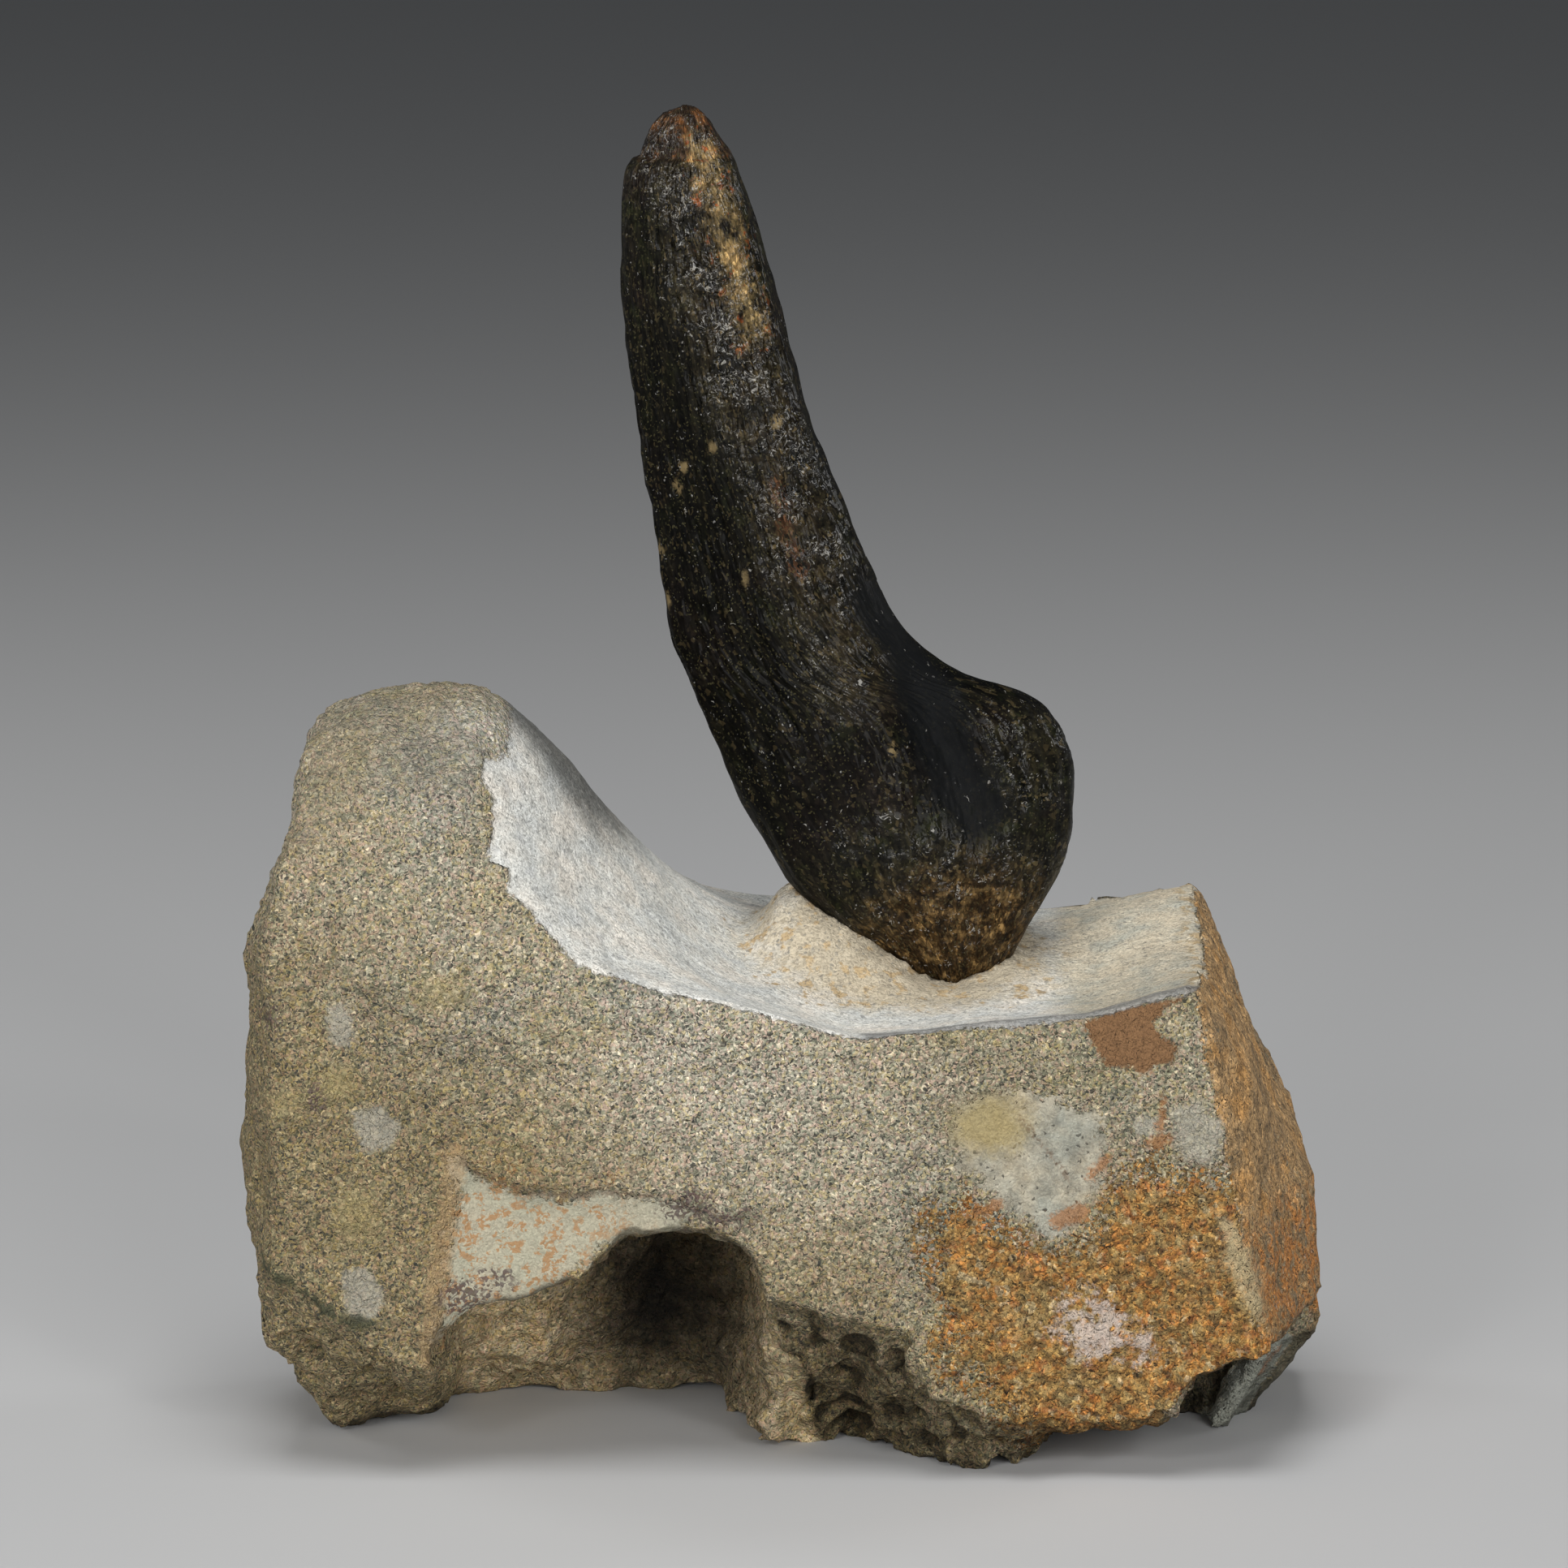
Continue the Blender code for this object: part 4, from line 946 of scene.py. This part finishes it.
def bone_ground(tree, look):
    """Near black, with olive, brown and purple in it, drawn out along the fibres."""
    tone = ramp(tree, look.streaks, BONE_FIBRES)
    tone = tinted(tree, tone, BONE_OLIVE, look.mottle, 0.5, 0.66, 0.6)
    tone = tinted(tree, tone, BONE_PURPLE, look.broad, 0.5, 0.34, 0.4)
    ridge = patch(tree, "ridge", look.ragged, 6.0, 4.0)
    tone = laid(tree, tone, ramp(tree, look.mottle, BONE_RIDGE), ridge, 0.75)
    foot = blend(tree, 0.6, ramp(tree, look.streaks, FOOT_FIBRES), ramp(tree, look.ragged, FOOT_MOTTLE))
    foot = dimmed(tree, foot, FOOT_DIMMED)
    tone = laid(tree, tone, foot, patch(tree, "foot", look.mottle, 14.0, 6.0), 0.9)
    cap = ramp(tree, look.mottle, BONE_CAP)
    return laid(tree, tone, cap, patch(tree, "cap", look.ragged, 2.0, 0.8), 0.9)


def bone_stains(tree, look, tone):
    """Ochre and rusty stains."""
    tan = blend(tree, stepped(tree, look.ragged, 0.58, 0.64), ramp(tree, look.mottle, BONE_TAN), TAN_RED)
    mottled = stepped(tree, look.mottle, 0.34, 0.48)
    ochre = times(tree, patch(tree, "ochre", look.ragged, 12.0, 2.0), mottled)
    tone = laid(tree, tone, tan, ochre, 0.85)
    rust = times(tree, patch(tree, "rust", look.ragged, 5.0, 0.9), stepped(tree, look.green, 0.25, 0.4))
    return laid(tree, tone, BONE_RUST, rust, 0.6)


def bone_grain(tree, look, tone, flute):
    """Grain and specks where the surface is coarse, pale lines and dots painted as glints, and painted shade
    away from the lit places.
    """
    tone = graded(tree, tone, look.red, [(0.0, 0.35), (0.45, 0.85), (0.85, 1.35), (1.0, 2.6)])
    tone = graded(tree, tone, stored(tree, "lit"), [(0.0, 0.25), (1.0, 0.95)])
    coarse = maths(tree, "MULTIPLY_ADD", look.wet, 0.5, 0.15)
    tone = blend(tree, times(tree, stepped(tree, look.green, 0.945, 0.96), coarse), tone, TAN_GRAIN)
    tone = tinted(tree, tone, OLIVE_GRAIN, look.thin, 0.93, 0.95, 0.5)
    tone = laid(tree, tone, FLUTE_BLACK, flute, 0.9)

    # Painted highlights: pale lines along the wrinkles
    off_middle = maths(tree, "ABSOLUTE", maths(tree, "SUBTRACT", look.squiggles, 0.5))
    lines = stepped(tree, off_middle, 0.028, 0.010)
    broken = stepped(tree, maths(tree, "MULTIPLY_ADD", look.wet, 0.22, look.fine), 0.70, 0.745)
    tone = laid(tree, tone, GLINT_LINE_PAINTED, times(tree, lines, broken), 0.5)
    # Painted highlights: pale dots
    bright = stepped(tree, maths(tree, "MULTIPLY_ADD", look.wet, 0.008, look.glint), 0.988, 0.992)
    dots = times(tree, bright, stepped(tree, look.dashes, 0.5, 0.6))
    dots = times(tree, dots, maths(tree, "MULTIPLY_ADD", flute, -0.75, 1.0))
    tone = laid(tree, tone, GLINT_DOT_PAINTED, dots, 0.5)
    speck = times(tree, patch(tree, "speck", look.ragged, 3.0, 0.5), stepped(tree, look.green, 0.2, 0.3))
    return laid(tree, tone, OCHRE_SPECK, speck, 0.7)


def fossil():
    made, tree, surface, place = new_material("consolidated bone")
    look = bone_textures(tree, place)
    flute = patch(tree, "flute", look.ragged, 4.0, 2.5)
    tone = bone_stains(tree, look, bone_ground(tree, look))
    tree.links.new(bone_grain(tree, look, tone, flute), surface.inputs["Base Color"])
    gloss = blend(tree, patch(tree, "matte", look.ragged, 3.0, 2.0), (0.40, 0.40, 0.40), (0.60, 0.60, 0.60))
    tree.links.new(gloss, surface.inputs["Roughness"])
    surface.inputs["Specular IOR Level"].default_value = 0.05

    # A coat of varnish, thin in the flute
    surface.inputs["Coat IOR"].default_value = 1.4
    surface.inputs["Coat Roughness"].default_value = 0.06
    thick = maths(tree, "MULTIPLY_ADD", look.wet, 0.70, 0.08)
    varnish = times(tree, thick, maths(tree, "MULTIPLY_ADD", flute, -0.9, 1.0))
    tree.links.new(varnish, surface.inputs["Coat Weight"])

    relief = bumped(tree, times(tree, look.squiggles, look.wet), 0.95)
    relief = bumped(tree, look.dashes, 0.45, relief)
    tree.links.new(relief, surface.inputs["Normal"])
    tree.links.new(relief, surface.inputs["Coat Normal"])
    return made


def edges_by_height(points):
    """The left and right edge of the bone at each height."""
    heights = np.arange(points[:, 2].min(), points[:, 2].max() + 1, 1.0)
    slot = np.clip(np.searchsorted(heights, points[:, 2]) - 1, 0, len(heights) - 1)
    left, right = np.full(len(heights), np.inf), np.full(len(heights), -np.inf)
    np.minimum.at(left, slot, points[:, 0])
    np.maximum.at(right, slot, points[:, 0])
    good = np.isfinite(left)
    return heights[good] + 0.5, left[good], right[good]


def make_bone():
    piece = merged_copy("fossil_bone", "bone")
    remesh(piece, BONE_GRID)
    melt(piece, BONE_MELT, BONE_CREASE)
    points, facing = places(piece), normals(piece)
    seen = drawn(points)
    x, y, z = seen.T
    heights, left, right = edges_by_height(seen)
    lefts, rights = np.interp(z, heights, left), np.interp(z, heights, right)
    across = (np.clip((x - lefts) / (rights - lefts), 0, 1) - 0.5) * 36
    side = np.where(facing[:, 1] > 0, 40.0, 0.0)
    fibre = np.column_stack([across, z * FIBRE_STRETCH, side])

    from_ridge = from_line(seen, RIDGE)
    ridge = 1 - smooth_step(2.0, 11.0, from_ridge)
    foot = 1 - smooth_step(9, 24, from_place(seen, COARSE_FOOT, (1.2, 1.0, 1.0)))
    lobe = 1 - smooth_step(6, 13, from_place(seen, LOBE))
    cap = smooth_step(CAP_STEP_Z - 0.5, CAP_STEP_Z + 0.4, z)
    rear = smooth_step(8, 14, y)
    flute_from = from_line(seen, FLUTE)
    flute = 1 - smooth_step(2.5, FLUTE_HALF, flute_from)
    wet = np.max([ridge, 0.8 * foot, 0.8 * lobe, 0.7 * cap, 0.4 * rear], axis=0) * (1 - 0.95 * flute)
    wet *= np.clip(0.75 + 1.4 * lumps(points, [(6.0, 1.0), (2.5, 0.7)], 31.0), 0.1, 1)
    wet *= 1 - 0.45 * smooth_step(140, 112, z)

    lift = lumps(points, BONE_LUMPS, 9.0) * (1 - 0.7 * flute)
    lift += lumps(fibre, FIBRES, 2.0) * (1 - 0.8 * flute)
    lift += folds(points, WRINKLES, 4.0) * wet * (1 - 0.7 * cap)
    lift -= FLUTE_DEPTH * (1 - smooth_step(0, FLUTE_HALF, flute_from))
    lift -= 0.8 * cap * smooth_step(-8, -14, x) * smooth_step(200, 197, z)
    lift -= 0.35 * (1 - smooth_step(0.1, 0.5, from_line(seen, CRACK)))
    moved = points + facing * lift[:, None]
    moved[:, 2] += TIP_LIFT * smooth_step(196, 202, z) * np.clip(1 - ((x - TIP_X) / TIP_HALF) ** 2, 0, 1)
    put(piece, moved)

    keep(piece, "across", across)
    keep(piece, "along", z)
    keep(piece, "side", side)
    keep(piece, "wet", wet)
    keep(piece, "ridge", 6.0 - from_ridge)
    keep(piece, "ochre", 2.4 - from_line(seen, OCHRE_BAND))
    keep(piece, "rust", 1.0 - from_line(seen, RUST_STREAK))
    spots = np.min([from_place(seen, p, (1, 1, 1.5)) for p in OCHRE_SPECKS + EDGE_STREAK], axis=0)
    keep(piece, "speck", 0.6 - spots)
    keep(piece, "flute", 5.0 - flute_from)
    keep(piece, "foot", 15 - from_place(seen, FOOT_END))
    keep(piece, "cap", z - CAP_STEP_Z)
    keep(piece, "matte", 6 * (0.25 - wet))
    high = smooth_step(150, 190, z)
    keep(piece, "lit", np.max([smooth_step(12, 4, from_ridge), foot, 0.7 * lobe, 0.7 * high], axis=0))
    piece.data.materials.clear()
    piece.data.materials.append(fossil())
    piece.data.shade_smooth()
    return piece


def camera():
    lens = bpy.data.cameras.new("photographer")
    lens.sensor_width = SENSOR
    lens.lens = SENSOR * CAMERA_FAR / (IMAGE_SIDE_PX * PICTURE_SCALE)
    lens.clip_start, lens.clip_end = 0.05, 20.0
    eye = bpy.data.objects.new("camera", lens)
    tilt = math.radians(CAMERA_DOWN)
    target = Vector((CAMERA_TARGET_X + DRAWING_X, FRONT_Y, CAMERA_TARGET_Z))
    eye.location = (target + CAMERA_FAR * Vector((0, -math.cos(tilt), math.sin(tilt)))) * MM
    eye.rotation_euler = (math.pi / 2 - tilt, 0, 0)
    bpy.context.scene.collection.objects.link(eye)
    bpy.context.scene.camera = eye


def softbox(name, place, side, watts):
    """A square light that faces the object."""
    lamp = bpy.data.lights.new(name, "AREA")
    lamp.size = side
    lamp.energy = watts
    stand = bpy.data.objects.new(name, lamp)
    stand.location = place
    aim = Vector(LIGHTS_AIM) - Vector(place)
    stand.rotation_euler = aim.to_track_quat("-Z", "Y").to_euler()
    bpy.context.scene.collection.objects.link(stand)


def studio():
    bm = bmesh.new()
    bmesh.ops.create_grid(bm, x_segments=1, y_segments=1, size=4.0)
    mesh = bpy.data.meshes.new("floor")
    bm.to_mesh(mesh)
    bm.free()
    floor = bpy.data.objects.new("floor", mesh)
    bpy.context.scene.collection.objects.link(floor)
    made = bpy.data.materials.new("pale floor")
    made.use_nodes = True
    surface = made.node_tree.nodes["Principled BSDF"]
    surface.inputs["Base Color"].default_value = (0.55, 0.55, 0.55, 1)
    surface.inputs["Roughness"].default_value = 0.9
    mesh.materials.append(made)
    world = bpy.data.worlds.new("studio")
    world.use_nodes = True
    glow = world.node_tree.nodes["Background"]
    glow.inputs["Color"].default_value = (0.9, 0.95, 1.0, 1)
    glow.inputs["Strength"].default_value = 0.07
    bpy.context.scene.world = world
    for name, place, side, watts in LIGHTS:
        softbox(name, place, side, watts)
    bpy.context.scene.view_settings.view_transform = "Standard"


camera()
studio()
bone = make_bone()
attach(bone, "root")
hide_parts("fossil_bone")
rock = make_rock(bone)
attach(rock, "root")
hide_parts("sandstone_matrix")
